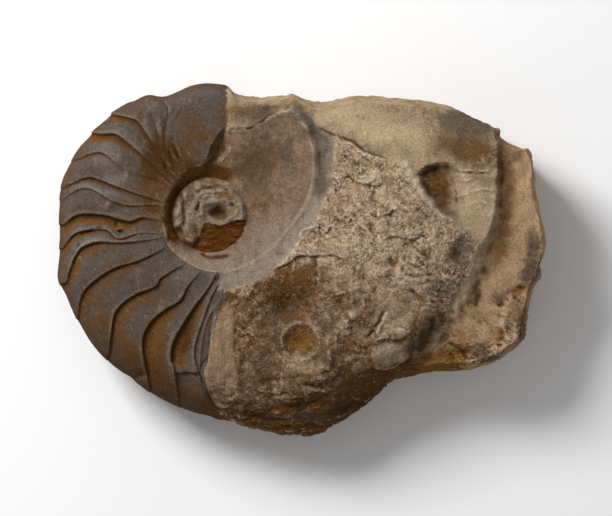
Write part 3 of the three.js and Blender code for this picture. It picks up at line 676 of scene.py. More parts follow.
def face_level(at, shape):
    """Big shape of the face: matrix and ledge heights from their spots, parted by the scarp;
    the domed flank; the bare band; the bowl, which climbs from the seam to its rim as a power
    of the way out; and the boss, wherever it stands above the bowl."""
    x, y = at.plan[:, 0], at.plan[:, 1]
    from_scarp = to_line(at.plan + 0.8 * at.wander, curve(SCARP))[0]
    width = 5.0 + 25.0 * smooth(-y, -28.0, 45.0)
    onto_ledge = smooth(from_scarp, -width * 0.75, width * 0.25)
    matrix = spot_level(at.plan, MATRIX_SPOTS)
    level = matrix + (spot_level(at.plan, LEDGE_SPOTS) - matrix) * onto_ledge

    lines = rib_lines(at.radius)
    out = np.maximum(at.radius - SHOULDER_RADIUS, 0.0)
    flank = SHOULDER_LEVEL - FLANK_FALL * out**2
    on_flank = smooth(flank_depth(at, lines), -3.0, 2.0)
    level += (flank - level) * on_flank

    band_depth = depth_inside(at.plan, BAND)
    rim_radius, rim_level, power = (around(BOWL_RIM, at.degrees, k) for k in (1, 2, 3))
    past_rim = np.maximum(at.radius - rim_radius, 0.0)
    behind_crest = 1.8 * smooth(y, 40.0, 75.0) * smooth(past_rim, 0.0, 6.0)
    band_level = rim_level + (level - rim_level) * smooth(past_rim, 2.0, 16.0) - behind_crest
    level += (band_level - level) * smooth(band_depth, -1.0, 3.0)

    up = np.clip((at.radius - BOSS_RADIUS) / (rim_radius - BOSS_RADIUS), 0.0, 1.0)
    bowl = SEAM_LEVEL + (rim_level - SEAM_LEVEL) * up**power
    in_bowl = 1.0 - smooth(at.radius - rim_radius, -1.0, 2.0)
    level += (bowl - level) * in_bowl
    boss = boss_level(at, shape.boss_top / MM)
    level = np.where(at.radius < BOSS_RADIUS, np.maximum(boss, SEAM_LEVEL - 2.0), level)

    pit = smooth(depth_inside(at.plan + 0.6 * at.wander, PIT), -1.0, 3.2)
    ramp = np.clip((112.0 - x) / 25.0, 0.0, 1.0) * np.clip((y - 10.0) / 36.0, 0.25, 1.0)
    hole = smooth(depth_inside(at.plan, TRIANGLE_HOLE), -0.6, 2.4)
    return level - PIT_DEPTH * pit * ramp - HOLE_DEPTH * hole


def along_line(at, points, reach, wander):
    """The points within reach of a drawn line: which they are, how far each is from it,
    positive on its left, how far along it each is from its nearer end, and its length."""
    line = curve(points)
    near = beside(at.plan, line, reach)
    distance, along = to_line(at.plan[near] + wander * at.wander[near], line)
    length = np.hypot(*np.diff(line, axis=0).T).sum()
    return near, distance, np.minimum(along, length - along), length


def drawn_relief(at):
    """Ridges and grooves, with a bell-shaped section that fades out at both ends; ledges,
    whose high and low sides die away from a sharp step; rounded hollows; and the crater's
    rim."""
    relief = np.zeros(len(at.plan))
    for height, half_width, points in STROKES:
        near, distance, to_end, length = along_line(at, points, 3.5 * half_width + 3.0, 0.8)
        ends = smooth(to_end, -0.01, min(4.0, length / 3))
        uneven = 0.75 + 0.6 * noise(at.plan[near], 4.5, 181)
        relief[near] += height * uneven * ends * bell(distance, half_width)
    for step, high_reach, low_reach, points in LEDGES:
        reach = 3.0 * max(high_reach, low_reach)
        near, distance, to_end, length = along_line(at, points, reach, 1.0)
        ends = smooth(to_end, -0.01, length / 4)
        high = bell(np.maximum(distance, 0), high_reach)
        low = bell(np.maximum(-distance, 0), low_reach)
        upper = smooth(distance, -0.5, 0.6)
        relief[near] += 0.5 * step * ends * (high * upper - low * (1 - upper))
    for depth, *ellipse in DENTS:
        relief -= depth * patch(at.plan + 0.4 * at.wander, *ellipse)
    from_crater = np.hypot(*(at.plan - CRATER).T)
    return relief + 1.6 * bell(from_crater - CRATER_RIM, 2.5)


def crumble(at, height):
    """Crumbled rock: rounded lumps with creases between them, tilted flakes of two sizes with
    cracks round them, drawn out along a slant, and a slow swell. Above the hollows it is
    coarser than below them."""
    coarse = 0.5 + 0.5 * smooth(at.plan[:, 1] + 0.25 * at.plan[:, 0], -14.0, 14.0)
    coarse = np.maximum(coarse, smooth(at.plan[:, 0], 80.0, 105.0))
    slant = math.radians(SLANT)
    turned = np.array([[math.cos(slant) / DRAWN_OUT, -math.sin(slant)],
                       [math.sin(slant) / DRAWN_OUT, math.cos(slant)]])
    p = (at.skin + 1.2 * at.wander) @ turned
    lumps = -0.4 * ridged(p, 7.5, 91, 3) + 0.55 * ridged(p * (0.6, 1.3), 5.0, 93, 3)
    medium, medium_edge = flakes(p, 6.0, 71)
    small, small_edge = flakes((at.skin + 0.6 * at.wander) @ turned, 2.9, 83)
    cracks = -0.2 * (bell(medium_edge, 0.07) + bell(small_edge, 0.1))
    fine = 0.5 * rough_noise(at.skin, 2.2, 101, 2)
    return height * (coarse * (lumps + 0.85 * medium + 0.65 * small + cracks + fine)
                     + 1.4 * rough_noise(at.skin, 24.0, 97, 3))


def zones(at):
    """Share of each kind of surface at every point, 0 to 1."""
    lines = rib_lines(at.radius)
    soft = at.plan + 1.3 * at.wander
    rim_radius = around(BOWL_RIM, at.degrees, 1)
    broken_end = smooth(at.plan[:, 1], 30.0, 60.0)
    shell_depth = flank_depth(at, lines) + (0.3 + 0.9 * broken_end) * at.wander[:, 0]
    shell = smooth(shell_depth / (0.8 + 1.8 * broken_end), -1.0, 1.0)
    shell = shell * smooth(at.radius - rim_radius, -1.5, 1.5)
    boss = 1.0 - smooth(at.radius, BOSS_RADIUS - 0.8, BOSS_RADIUS + 0.4)
    bowl = (1.0 - smooth(at.radius - rim_radius + 0.8 * at.wander[:, 0], -2.5, 2.0)) * (1.0 - boss)
    # Painted light: the lower right of the bowl faces the key light and is laid in the paler band
    # colour; the top of its slope all round is paler as well.
    sunny = smooth(np.cos(np.radians(at.degrees - 290.0)), -0.25, 0.75)
    climb = (at.radius - BOSS_RADIUS) / (rim_radius - BOSS_RADIUS)
    lit_side_and_pale_rim = np.maximum(sunny * (0.55 + 0.45 * smooth(climb, 0.2, 1.0)),
                        0.5 * smooth(climb, 0.75, 1.0))
    # Painted highlight: a pale line along the crest of the bowl's rim, in the pale wear colour.
    crest = bell(at.radius - rim_radius, 1.6) * (1.0 - shell)
    band = smooth(depth_inside(soft, BAND), -1.0, 2.0) * (1.0 - bowl)
    uncovered = (1.0 - shell) * (1.0 - bowl) * (1.0 - band)
    rough = smooth(depth_inside(soft, CRUMBLED), -1.5, 2.5) * uncovered
    strip = smooth(depth_inside(soft, PINK_STRIP), -2.0, 3.0) * rough
    ledge = smooth(to_line(soft, curve(SCARP))[0], -4.0, 2.0)
    # Painted shade: the upper left wall of the bowl, turned from the key light, takes the dark
    # earth colour.
    shaded = smooth(np.cos(np.radians(at.degrees - 140.0)), -0.1, 0.55)
    wall = bowl * shaded * (1.0 - smooth(at.radius - BOSS_RADIUS, 3.0, 12.0))
    terrace = boss * terrace_share(at)
    # Painted shade inside the pit, fading out to its right; it takes the earth colour at a lesser
    # share.
    pit = smooth(depth_inside(soft, PIT), -0.5, 3.0) * (1.0 - smooth(at.plan[:, 0], 92.0, 108.0))
    low = 1.0 - smooth(at.plan[:, 1] + 0.25 * at.plan[:, 0], -26.0, 8.0)
    facets = np.maximum(*(smooth(depth_inside(at.plan, edge), -1.0, 2.0)
                          for edge in (FACET_PLATE, LOWER_FACET)))
    crags = patched(soft, CRAGS)
    return {"shell": shell, "boss": boss, "bowl": bowl, "band": band, "rough": rough,
            "strip": strip, "ledge": ledge * (1.0 - rough), "lit_side_and_pale_rim": bowl * lit_side_and_pale_rim,
            "crest": crest,
            # Brown earth on the boss's terrace, and painted shade on the bowl's upper left wall
            # and in the pit.
            "earth_and_shade": np.maximum.reduce([wall, terrace, 0.42 * pit]),
            "loam": low * rough * (1.0 - strip) * (1.0 - facets), "facets": facets * rough,
            "crags": crags * (1.0 - rough) * (1.0 - shell)}


def stone_relief(at, zone, ribs, shape):
    """Everything that stands on the big shape, in millimetres along the outward direction."""
    facets = zone["facets"]
    y = at.plan[:, 1]
    belly = smooth(-y, 72.0, 92.0) * zone["rough"]
    crater = patch(at.plan, *CRATER, 12.0, 11.0, 0.0)
    evenness = (1.0 - 0.75 * zone["strip"] - 0.45 * facets - 0.92 * belly) * (1.0 - 0.8 * crater)
    uneven = 0.55 + 0.6 * smooth(noise(at.skin, 17.0, 201), -0.5, 0.45)
    broken = zone["rough"] * evenness * uneven + 0.8 * zone["crags"]
    bulk = crumble(at, shape.crumble_height / MM) * broken
    layers = (0.35 * np.sin((y + 4.0 * at.wander[:, 1]) * 1.1)
              + 0.9 * rough_noise(at.skin * (0.6, 1.2), 10.0, 221, 2)) * belly
    striae = 0.2 * noise(at.plan * (1.0, 0.16), 1.3, 111) * zone["strip"]
    grain = 0.12 * rough_noise(at.skin, 2.4, 121) + 0.45 * rough_noise(at.skin, 14.0, 131, 2)
    covered = [zone[name] for name in ("rough", "shell", "boss", "bowl", "band")]
    smooth_rock = 1.0 - np.maximum.reduce(covered)
    flaked = smooth(noise(at.skin, 15.0, 211), -0.2, 0.4)
    slabs = (0.9 * rough_noise(at.skin, 22.0, 141, 3)
             + 0.25 * flakes(at.skin + 1.2 * at.wander, 7.0, 151)[0] * flaked)
    plates = (slabs * (1.0 - 0.75 * zone["ledge"])
              + 1.1 * zone["ledge"] * rough_noise(at.skin, 17.0, 191, 2)) * smooth_rock
    calm = 1.0 - 0.5 * zone["shell"] - 0.4 * zone["bowl"]
    return (ribs + bulk + layers + striae + grain * calm + 0.8 * plates + drawn_relief(at)
            + 0.3 * facets)


def ring_places(cells):
    """Bearing in degrees and share of the way out for a square grid whose square rings turn
    into the rings of a disc: along each side of a ring the bearing runs evenly over 90."""
    half = cells // 2
    j, i = np.mgrid[-half:half + 1, -half:half + 1]
    ring = np.maximum(np.abs(i), np.abs(j))
    safe = np.maximum(ring, 1)
    degrees = np.select(
        [i == ring, j == ring, i == -ring],
        [45.0 * j / safe, 90.0 - 45.0 * i / safe, 180.0 - 45.0 * j / safe],
        270.0 + 45.0 * i / safe,
    )
    return degrees % 360.0, ring / half


def border_of(cells):
    """Grid indices of the widest line, counter-clockwise from the lower left corner."""
    side = cells + 1
    n = np.arange(cells)
    return np.concatenate([
        n, n * side + cells, cells * side + cells - n, (cells - n) * side,
    ])


def outline_reach(degrees):
    """Distance from the middle to the widest line at a bearing, on the smooth closed curve
    through the outline's points, stretched to the frame's own length and width."""
    line = curve(OUTLINE, closed=True, per_step=12)
    size = line.max(axis=0) - line.min(axis=0)
    line = (line - line.min(axis=0)) * (FRAME_HIGH - FRAME_LOW)[:2] / size + FRAME_LOW[:2]
    bearing = np.degrees(np.arctan2(line[:, 1], line[:, 0])) % 360.0
    order = np.argsort(bearing)
    return np.interp(degrees, bearing[order], np.hypot(*line[order].T), period=360.0)


def directions(degrees):
    """Unit steps towards each bearing."""
    return np.stack([np.cos(np.radians(degrees)), np.sin(np.radians(degrees))], axis=-1)


def stone_skin(shape):
    """Points of the whole skin, in rows: the face, the wall, then the back.

    On the face the way out is straight to the rounding, then a quarter ellipse whose height
    runs from the face down to the widest line. On the wall the foot draws in as 1 minus the
    superellipse of the way down. The relief pushes each point along a direction that turns
    from straight up on the face to straight out at the widest line.
    """
    cells = shape.grid_cells
    rows = cells // 9
    degrees, share = (a.ravel() for a in ring_places(cells))
    reach = outline_reach(degrees)
    rim_level, rounding, _ = (around(EDGE, degrees, k) for k in (1, 2, 3))
    arc = 1.2 * np.hypot(rounding, 36.0)
    round_share = arc / (arc + reach - rounding)
    turn = 0.5 * math.pi * np.minimum((1.0 - share) / round_share, 1.0)
    inner = np.minimum(share / (1.0 - round_share), 1.0) * (reach - rounding)
    on_rounding = share > 1.0 - round_share
    radius = inner + rounding * np.cos(turn) * on_rounding
    toward = directions(degrees)
    face_plan = toward * radius[:, None]
    face_skin = toward * (inner + arc * (1.0 - turn / (0.5 * math.pi)))[:, None]
    tilt = 0.5 * math.pi - turn

    border = border_of(cells)
    down = np.repeat(np.arange(1, rows + 1) / rows, len(border))
    wall_degrees = np.tile(degrees[border], rows)
    wall_reach = np.tile(reach[border], rows)
    wall_rim, inset = (around(EDGE, wall_degrees, k) for k in (1, 3))
    drop = wall_rim * down
    tuck = inset * (1.0 - (1.0 - down**WALL_CURVE) ** (1.0 / WALL_CURVE))
    wall_toward = directions(wall_degrees)
    wall_plan = wall_toward * (wall_reach + 0.6 * drop)[:, None]
    wall_way = wall_reach + np.tile((arc - rounding)[border], rows) + drop
    wall_skin = wall_toward * wall_way[:, None]

    at = Places(np.vstack([face_plan, wall_plan]), np.vstack([face_skin, wall_skin]))
    zone = zones(at)
    face_count = len(face_plan)
    face_at = Places(face_plan, face_skin)
    level = face_level(face_at, shape)
    face_z = rim_level + (level - rim_level) * np.sin(turn)
    lines = rib_lines(at.radius)
    ribs, groove = (part * zone["shell"] for part in rib_relief(at, lines, shape.rib_depth))
    relief = stone_relief(at, zone, ribs, shape)
    relief[face_count:] *= smooth(1.0 - down, 0.0, 0.25)
    outer = np.concatenate([np.sin(tilt) ** 3, 1.0 - down])
    relief += outer * (1.1 * zone["shell"] - 0.65 * ribs)
    rock = 1.0 - smooth(flank_depth(at, lines), -2.0, 4.0)
    broken = (0.6 * flakes(at.skin + 2.4 * at.wander, 26.0, 161)[0]
              + 1.8 * rough_noise(at.skin, 20.0, 171, 4))
    steep = np.concatenate([np.sin(tilt) ** 4, smooth(1.0 - down, 0.0, 0.2)])
    push = relief + np.minimum(broken, 0.8) * rock * steep

    face_out = np.column_stack([toward * np.sin(tilt)[:, None], np.cos(tilt)])
    face = np.column_stack([face_plan, face_z]) + face_out * push[:face_count, None]
    wall_radius = wall_reach - tuck + push[face_count:]
    wall = np.column_stack([wall_toward * wall_radius[:, None], wall_rim - drop])
    foot = wall[-len(border):]
    back_rings = [foot * (share_in, share_in, 0) for share_in in BACK_RINGS]
    back = np.vstack(back_rings + [np.zeros((1, 3))])
    points = np.vstack([face, wall, back])
    measures = dict(zone)
    # groove: soil and painted shade along the foot of each rib's drop, where the plate above
    # shades the one below.
    measures["groove"] = groove
    measures["recess"] = smooth(-ribs, 0.7, 3.5)
    # edge: 1 where the face rounds down to the widest line and on the wall; on the shell it lays
    # brown stain with painted shade where the face turns away.
    measures["edge"] = np.concatenate([smooth(np.sin(tilt), 0.35, 1.0), np.ones(len(wall))])
    relative = standing_out(push, level, tilt, cells, rows)
    # Points lying below the skin round them take soil and painted shade; raised points take pale
    # wear and a painted highlight.
    measures["hollow"] = np.clip(-relative, 0.0, 1.5)
    measures["wear_and_highlight"] = np.clip(relative, 0.0, 1.5)
    moved = at.plan + 2.0 * at.wander
    for name, patches in PATCHES.items():
        measures[name] = patched(moved, patches)
    on_back = np.zeros(len(back))
    measures = {name: np.concatenate([share, on_back]) for name, share in measures.items()}
    return points, measures, cells, rows


def spread(grid, steps):
    """Mean over a square of 2 steps + 1 points a side, from running sums along both axes."""
    for axis in (0, 1):
        border = [(steps + 1, steps) if k == axis else (0, 0) for k in (0, 1)]
        padded = np.pad(grid, border, mode="edge")
        sums = np.cumsum(padded, axis=axis)
        width = 2 * steps + 1
        grid = (np.take(sums, range(width, sums.shape[axis]), axis=axis)
                - np.take(sums, range(sums.shape[axis] - width), axis=axis)) / width
    return grid


def unevenness(grid, reach):
    """How far each point of a grid stands above the mean round it, near and further out."""
    near = grid - spread(grid, max(round(2 * reach), 1))
    far = grid - spread(grid, max(round(7 * reach), 2))
    return (near + 0.4 * far).ravel()


def standing_out(push, level, tilt, cells, rows):
    """How far each point of the face and the wall stands above the skin round it: its relief,
    and on the face a share of the big shape as well."""
    side = cells + 1
    face_push, wall_push = push[:side * side], push[side * side:]
    reach = 1.2 * cells / WEAR_AND_SHADE_CELLS
    on_face = unevenness(face_push.reshape(side, side), reach)
    big = unevenness(level.reshape(side, side), 5.0 * cells / WEAR_AND_SHADE_CELLS)
    on_wall = unevenness(wall_push.reshape(rows, -1), reach)
    return np.concatenate([on_face + 0.16 * big * np.cos(tilt), on_wall])


def skin_faces(cells, rows):
    """Quads of the face, the wall and the back's rings, then the triangles of its middle."""
    side = cells + 1
    j, i = np.mgrid[0:cells, 0:cells]
    corner = (j * side + i).ravel()
    quads = [np.stack([corner, corner + 1, corner + side + 1, corner + side], axis=-1)]
    ring = border_of(cells)
    start = side * side
    for _ in range(rows + len(BACK_RINGS)):
        lower = start + np.arange(len(ring))
        quads.append(np.stack([np.roll(ring, -1), ring, lower, np.roll(lower, -1)], axis=-1))
        ring = lower
        start += len(ring)
    middle = np.full(len(ring), start)
    return np.vstack(quads), np.stack([middle, np.roll(ring, -1), ring], axis=-1)


def mesh_from_arrays(name, points, quads, triangles, measures):
    """A mesh of the points, four-sided faces and three-sided faces, with each measure as a
    number on its points, shaded smooth."""
    mesh = bpy.data.meshes.new(name)
    corners = np.concatenate([quads.ravel(), triangles.ravel()]).astype(np.int32)
    totals = np.concatenate([np.full(len(quads), 4), np.full(len(triangles), 3)])
    starts = np.concatenate([[0], np.cumsum(totals)[:-1]]).astype(np.int32)
    mesh.vertices.add(len(points))
    mesh.vertices.foreach_set("co", points.astype(np.float32).ravel())
    mesh.loops.add(len(corners))
    mesh.loops.foreach_set("vertex_index", corners)
    mesh.polygons.add(len(totals))
    mesh.polygons.foreach_set("loop_start", starts)
    mesh.polygons.foreach_set("use_smooth", np.ones(len(totals), dtype=bool))
    for measure, values in measures.items():
        layer = mesh.attributes.new(measure, "FLOAT", "POINT")
        layer.data.foreach_set("value", values.astype(np.float32))
    mesh.update(calc_edges=True)
    mesh.validate()
    return mesh


def thinned(piece, triangle_limit):
    """The piece with its flattest edges collapsed until it has at most that many triangles."""
    count = sum(len(p.vertices) - 2 for p in piece.data.polygons)
    if count <= triangle_limit:
        return
    thin = piece.modifiers.new("thin", "DECIMATE")
    thin.ratio = triangle_limit / count
    thin.use_collapse_triangulate = True
    settled = piece.evaluated_get(bpy.context.evaluated_depsgraph_get())
    mesh = bpy.data.meshes.new_from_object(settled)
    piece.modifiers.remove(thin)
    dense = piece.data
    piece.data = mesh
    bpy.data.meshes.remove(dense)
    mesh.name = piece.name


# ---- the finish -----------------------------------------------------------------------------

SPECKLE = (0.72, 0.69, 0.66), (1.24, 1.24, 1.24)  # what dark and pale specks multiply colour by


class Value:
    """A number on a surface. Arithmetic on it adds the Math node of that name."""

    def __init__(self, finish, socket):
        self.finish = finish
        self.socket = socket

    def math(self, operation, *others):
        operands = dict(enumerate((self, *others)))
        return self.finish.node("ShaderNodeMath", {"operation": operation}, operands)

    def __add__(self, other):
        return self.math("ADD", other)

    def __mul__(self, other):
        return self.math("MULTIPLY", other)

    def __sub__(self, other):
        return self.math("SUBTRACT", other)

    def __rsub__(self, other):
        return self.finish.node("ShaderNodeMath", {"operation": "SUBTRACT"}, {0: other, 1: self})

    __radd__ = __add__
    __rmul__ = __mul__

    def between(self, low, high):
        """0 at low, 1 at high, and smooth between."""
        return self.finish.node(
            "ShaderNodeMapRange", {"interpolation_type": "SMOOTHSTEP"},
            {"Value": self, "From Min": low, "From Max": high},
        )


class Finish:
    """A material, and the one way its nodes are made."""

    def __init__(self, name):
        self.material = bpy.data.materials.new(name)
        self.material.use_nodes = True
        self.tree = self.material.node_tree
        self.shader = self.tree.nodes["Principled BSDF"]
        self.measures = {}

    def node(self, kind, settings, sockets, output=0):
        """A node of that type: its settings first, then each socket's value or link. A socket
        is named by its identifier, its name or its place."""
        made = self.tree.nodes.new(kind)
        for setting, value in settings.items():
            setattr(made, setting, value)
        self.fill(made, sockets)
        outlet = made.outputs[output] if isinstance(output, int) else named(made.outputs, output)
        return Value(self, outlet)

    def fill(self, made, sockets):
        """Give a node's sockets their values or links."""
        for key, value in sockets.items():
            socket = made.inputs[key] if isinstance(key, int) else named(made.inputs, key)
            if isinstance(value, Value):
                self.tree.links.new(value.socket, socket)
            elif socket.type == "RGBA":
                socket.default_value = (*value[:3], 1.0)
            else:
                socket.default_value = value

    def measure(self, name):
        """The number of that name on the mesh's points."""
        if name not in self.measures:
            settings = {"attribute_name": name}
            self.measures[name] = self.node("ShaderNodeAttribute", settings, {}, "Fac")
        return self.measures[name]

    def grain(self, place, size, detail=3.0, roughness=0.55, stretch=(1, 1, 1)):
        """Noise from 0 to 1 whose features are about size across, in metres."""
        stretched = self.node(
            "ShaderNodeVectorMath", {"operation": "MULTIPLY"}, {0: place, 1: stretch},
        )
        return self.node(
            "ShaderNodeTexNoise", {},
            {"Vector": stretched, "Scale": 1.0 / size, "Detail": detail, "Roughness": roughness},
        )

    def blend(self, under, over, share, blend_type="MIX"):
        """The over colour laid on the under colour by a share from 0 to 1."""
        return self.node(
            "ShaderNodeMix", {"data_type": "RGBA", "blend_type": blend_type},
            {"Factor_Float": share, "A_Color": under, "B_Color": over}, "Result_Color",
        )

    def layered(self, colour, layers):
        """The colour with each layer laid on it in turn: its own colour, and its share."""
        for over, share in layers:
            colour = self.blend(colour, over, share)
        return colour


def named(sockets, key):
    """The socket with that identifier, or else the first with that name."""
    return next((s for s in sockets if s.identifier == key), None) or sockets[key]


class StoneFinish(Finish):
    """The stone's finish: zone colours laid over one another, patches of stain and painted shade,
    soil and painted shade in hollows, pale wear and painted highlights on raised edges, then
    mottling, with fine grain as bump."""

    def __init__(self, colours):
        super().__init__("fossil_stone_finish")
        place = self.node("ShaderNodeTexCoord", {}, {}, "Object")
        self.cloud = self.grain(place, 0.022, 4.0, 0.6)
        self.mottle = self.grain(place, 0.006, 4.0, 0.65)
        self.speck = self.grain(place, 0.0013, 4.0, 0.75)
        self.streak = self.grain(place, 0.004, 3.0, 0.6, (1.0, 0.18, 1.0))
        drift = self.node("ShaderNodeTexNoise", {}, {"Vector": place, "Scale": 250.0}, "Color")
        shift = self.node(
            "ShaderNodeVectorMath", {"operation": "SCALE"}, {0: drift, "Scale": 0.004})
        warped = self.node("ShaderNodeVectorMath", {"operation": "ADD"}, {0: place, 1: shift})
        cells = {"Vector": warped, "Scale": 400.0}
        self.chips = self.node("ShaderNodeTexVoronoi", {"feature": "F1"}, cells, "Color")
        self.gaps = self.node(
            "ShaderNodeTexVoronoi", {"feature": "DISTANCE_TO_EDGE"}, cells, "Distance")
        slanted = self.node(
            "ShaderNodeVectorRotate", {"rotation_type": "Z_AXIS"},
            {"Vector": warped, "Angle": math.radians(-SLANT)})
        self.vein = self.grain(slanted, 0.003, 4.0, 0.7, (0.4, 1.0, 1.0))
        self.beds = self.grain(warped, 0.0034, 4.0, 0.7, (0.3, 1.0, 1.0))
        even = self.measure("strip") * 0.7 + self.measure("facets") * 0.45
        self.broken = (self.measure("rough") + self.measure("crags") * 0.45) * (1.0 - even)

        colour = self.weathered(self.zoned(colours), colours)
        speckled = self.blend(*SPECKLE, self.speck.between(0.3, 0.7))
        self.fill(self.shader, {
            "Base Color": self.blend(
                colour, speckled, 1.0 - self.measure("rough") * 0.5, "MULTIPLY"),
            "Normal": self.bump(),
            "Roughness": 0.92 - self.measure("shell") * 0.12 + (self.mottle - 0.5) * 0.15,
        })
        self.shader.inputs["Specular IOR Level"].default_value = 0.0

    def masked(self, name, low=0.3, high=0.7, break_up=0.35):
        """A measure as a share from 0 to 1, with its edge broken up by the mottling."""
        return (self.measure(name) + (self.mottle - 0.5) * break_up).between(low, high)

    def zoned(self, colours):
        """Colour of each kind of surface, one laid over another."""
        mottle, streak, vein, broken = self.mottle, self.streak, self.vein, self.broken
        patchy = self.cloud * 0.6 + mottle * 0.4
        loam = self.blend(colours.loam, colours.umber_and_shade, mottle.between(0.4, 0.66))
        rough = self.layered(colours.crumble, [
            (colours.crumble_deep, mottle.between(0.4, 0.6)),
            (colours.loam, self.cloud.between(0.5, 0.68) * 0.5),
            (loam, self.masked("loam", 0.1, 0.9, 0.5) * patchy.between(0.28, 0.48)),
        ])
        shell = self.layered(colours.shell, [
            (colours.shell_warm, patchy.between(0.44, 0.62) * 0.9),
            (colours.band, streak.between(0.55, 0.75) * self.cloud.between(0.3, 0.6) * 0.3),
            # Brown stain with painted shade towards the rounded edge, where the face turns down.
            (colours.umber_and_shade, self.masked("edge", 0.0, 1.0, 0.6) * 0.42),
        ])
        band = self.blend(colours.band, colours.shell, streak.between(0.45, 0.75) * 0.6)
        bowl = self.blend(colours.bowl, colours.bowl_deep, mottle.between(0.4, 0.66))
        boss = self.blend(colours.boss, colours.bowl_deep, mottle.between(0.4, 0.6))
        earth_and_shade = self.layered(colours.earth_and_shade, [
            (colours.rust, self.beds.between(0.46, 0.62) * 0.3),
            (colours.bowl_deep, mottle.between(0.55, 0.7) * 0.25),
            (colours.bowl, (self.beds - mottle * 0.5).between(0.3, 0.42) * 0.3),
        ])
        bits = self.chips.between(0.58, 0.85) * broken
        return self.layered(colours.matrix, [
            (colours.matrix_deep, patchy.between(0.46, 0.62)),
            (colours.band, mottle.between(0.55, 0.7) * 0.5),
            (colours.ledge, self.masked("ledge") * 0.9),
            (rough, self.masked("rough")),
            (colours.wear_and_highlight, bits * (0.5 - self.measure("loam") * 0.25)),
            (colours.umber_and_shade, (1.0 - self.chips.between(0.12, 0.4)) * broken * 0.35),
            (colours.wear_and_highlight, vein.between(0.54, 0.7) * broken * 0.4),
            (colours.umber_and_shade, (1.0 - vein.between(0.32, 0.46)) * broken * 0.4),
            (colours.strip, self.masked("strip") * streak.between(0.2, 0.7)),
            (shell, self.masked("shell", 0.35, 0.65, 0.15)),
            (band, self.masked("band")),
            (bowl, self.masked("bowl", 0.3, 0.7, 0.25)),
            # Painted light on the lit lower right of the bowl, and the paler top of its slope, in
            # the band colour.
            (band, self.masked("lit_side_and_pale_rim", 0.2, 1.0, 0.5) * 0.85),
            # Painted highlight along the crest of the bowl's rim.
            (colours.wear_and_highlight, self.masked("crest", 0.3, 1.0, 0.6) * 0.3),
            (boss, self.measure("boss")),
            # Brown earth on the boss's terrace, and painted shade on the bowl's upper left wall
            # and in the pit.
            (earth_and_shade, self.masked("earth_and_shade", 0.05, 0.6, 0.4)),
        ])

    def weathered(self, colour, colours):
        """The colour with its stains and painted shade, soil and painted shade in its hollows and
        grooves, and pale wear and painted highlights on its raised edges.
        """
        mottle, speck, vein, measure = self.mottle, self.speck, self.vein, self.measure
        dark_stain_and_shade = measure("dark_stain_and_shade") + (mottle - 0.5) * 0.7 + (vein - 0.5) * 1.1
        hollow_soil_and_shade = (measure("hollow") + (speck - 0.5) * 0.3).between(0.08, 0.8)
        wear_and_highlight = (measure("wear_and_highlight") + (speck - 0.5) * 0.5).between(0.18, 0.8)
        dull = measure("shell") * 0.48 + measure("dark_stain_and_shade") * 0.5 + measure("boss") * 0.42
        return self.layered(colour, [
            (colours.pale, self.masked("pale", 0.1, 0.9, 0.5) * 0.75),
            # Grey bloom, with painted sheen on the upper plates.
            (colours.bloom_and_sheen, self.masked("bloom_and_sheen", 0.1, 0.9, 0.6) * 0.8),
            # Brown stains, with painted shade along the scarp, round the bowl's upper left, at the
            # inner plate ends and on the lower rounding.
            (colours.umber_and_shade, self.masked("umber_and_shade", 0.1, 0.9, 0.5) * 0.85),
            # Grey-black stains, with painted shade along the east edge of the crumbled rock and on
            # the lower rounding.
            (colours.dark_stain_and_shade, dark_stain_and_shade.between(0.12, 0.85) * 0.85),
            (colours.ochre, self.masked("ochre", 0.15, 0.8, 0.5) * 0.85),
            (colours.rust, self.masked("recess", 0.15, 0.75, 0.5) * 0.85),
            # Soil and painted shade in the groove at the foot of each rib's drop.
            (colours.earth_and_shade, self.masked("groove", 0.15, 0.8, 0.3) * 0.9),
            # Darkest soil, with painted shade at the inner ends of the upper plates, round the
            # bowl's upper left and along the lower rounding.
            (colours.soil_and_shade, self.masked("soil_and_shade_spots", 0.1, 0.9, 0.7) * 0.85),
            (colours.soil_and_shade, (1.0 - vein.between(0.3, 0.43)) * 0.3),
            (colours.wear_and_highlight, vein.between(0.58, 0.74) * (0.2 - measure("earth_and_shade") * 0.15)),
            # Soil and painted shade in the hollows and creases.
            (colours.soil_and_shade, hollow_soil_and_shade * (0.8 - measure("earth_and_shade") * 0.6 - measure("rough") * 0.16)),
            # Pale wear and painted highlight on raised edges.
            (colours.wear_and_highlight, wear_and_highlight * (0.6 - dull)),
        ])

    def bump(self):
        """Fine grain everywhere, chips on broken rock, and lines on the strip and on the earth
        zone:
        brown earth on the boss's terrace, and painted shade on the bowl's wall and in the pit.
        """
        chipped = self.gaps.between(0.0, 0.2) * 0.7 + self.chips * 0.8 + self.vein * 1.6
        lined = (self.streak * self.measure("strip") * 1.4
                 + self.beds * self.measure("earth_and_shade") * 0.7)
        fuzz = self.speck * 0.4 + self.mottle * 0.6 + chipped * self.broken + lined
        return self.node(
            "ShaderNodeBump", {}, {"Strength": 0.6, "Distance": MM, "Height": fuzz}, "Normal")


# ---- add-on ---------------------------------------------------------------------------------


def colour_property(label, about, value):
    return FloatVectorProperty(
        name=label, description=about, default=value, subtype="COLOR", min=0, max=1)


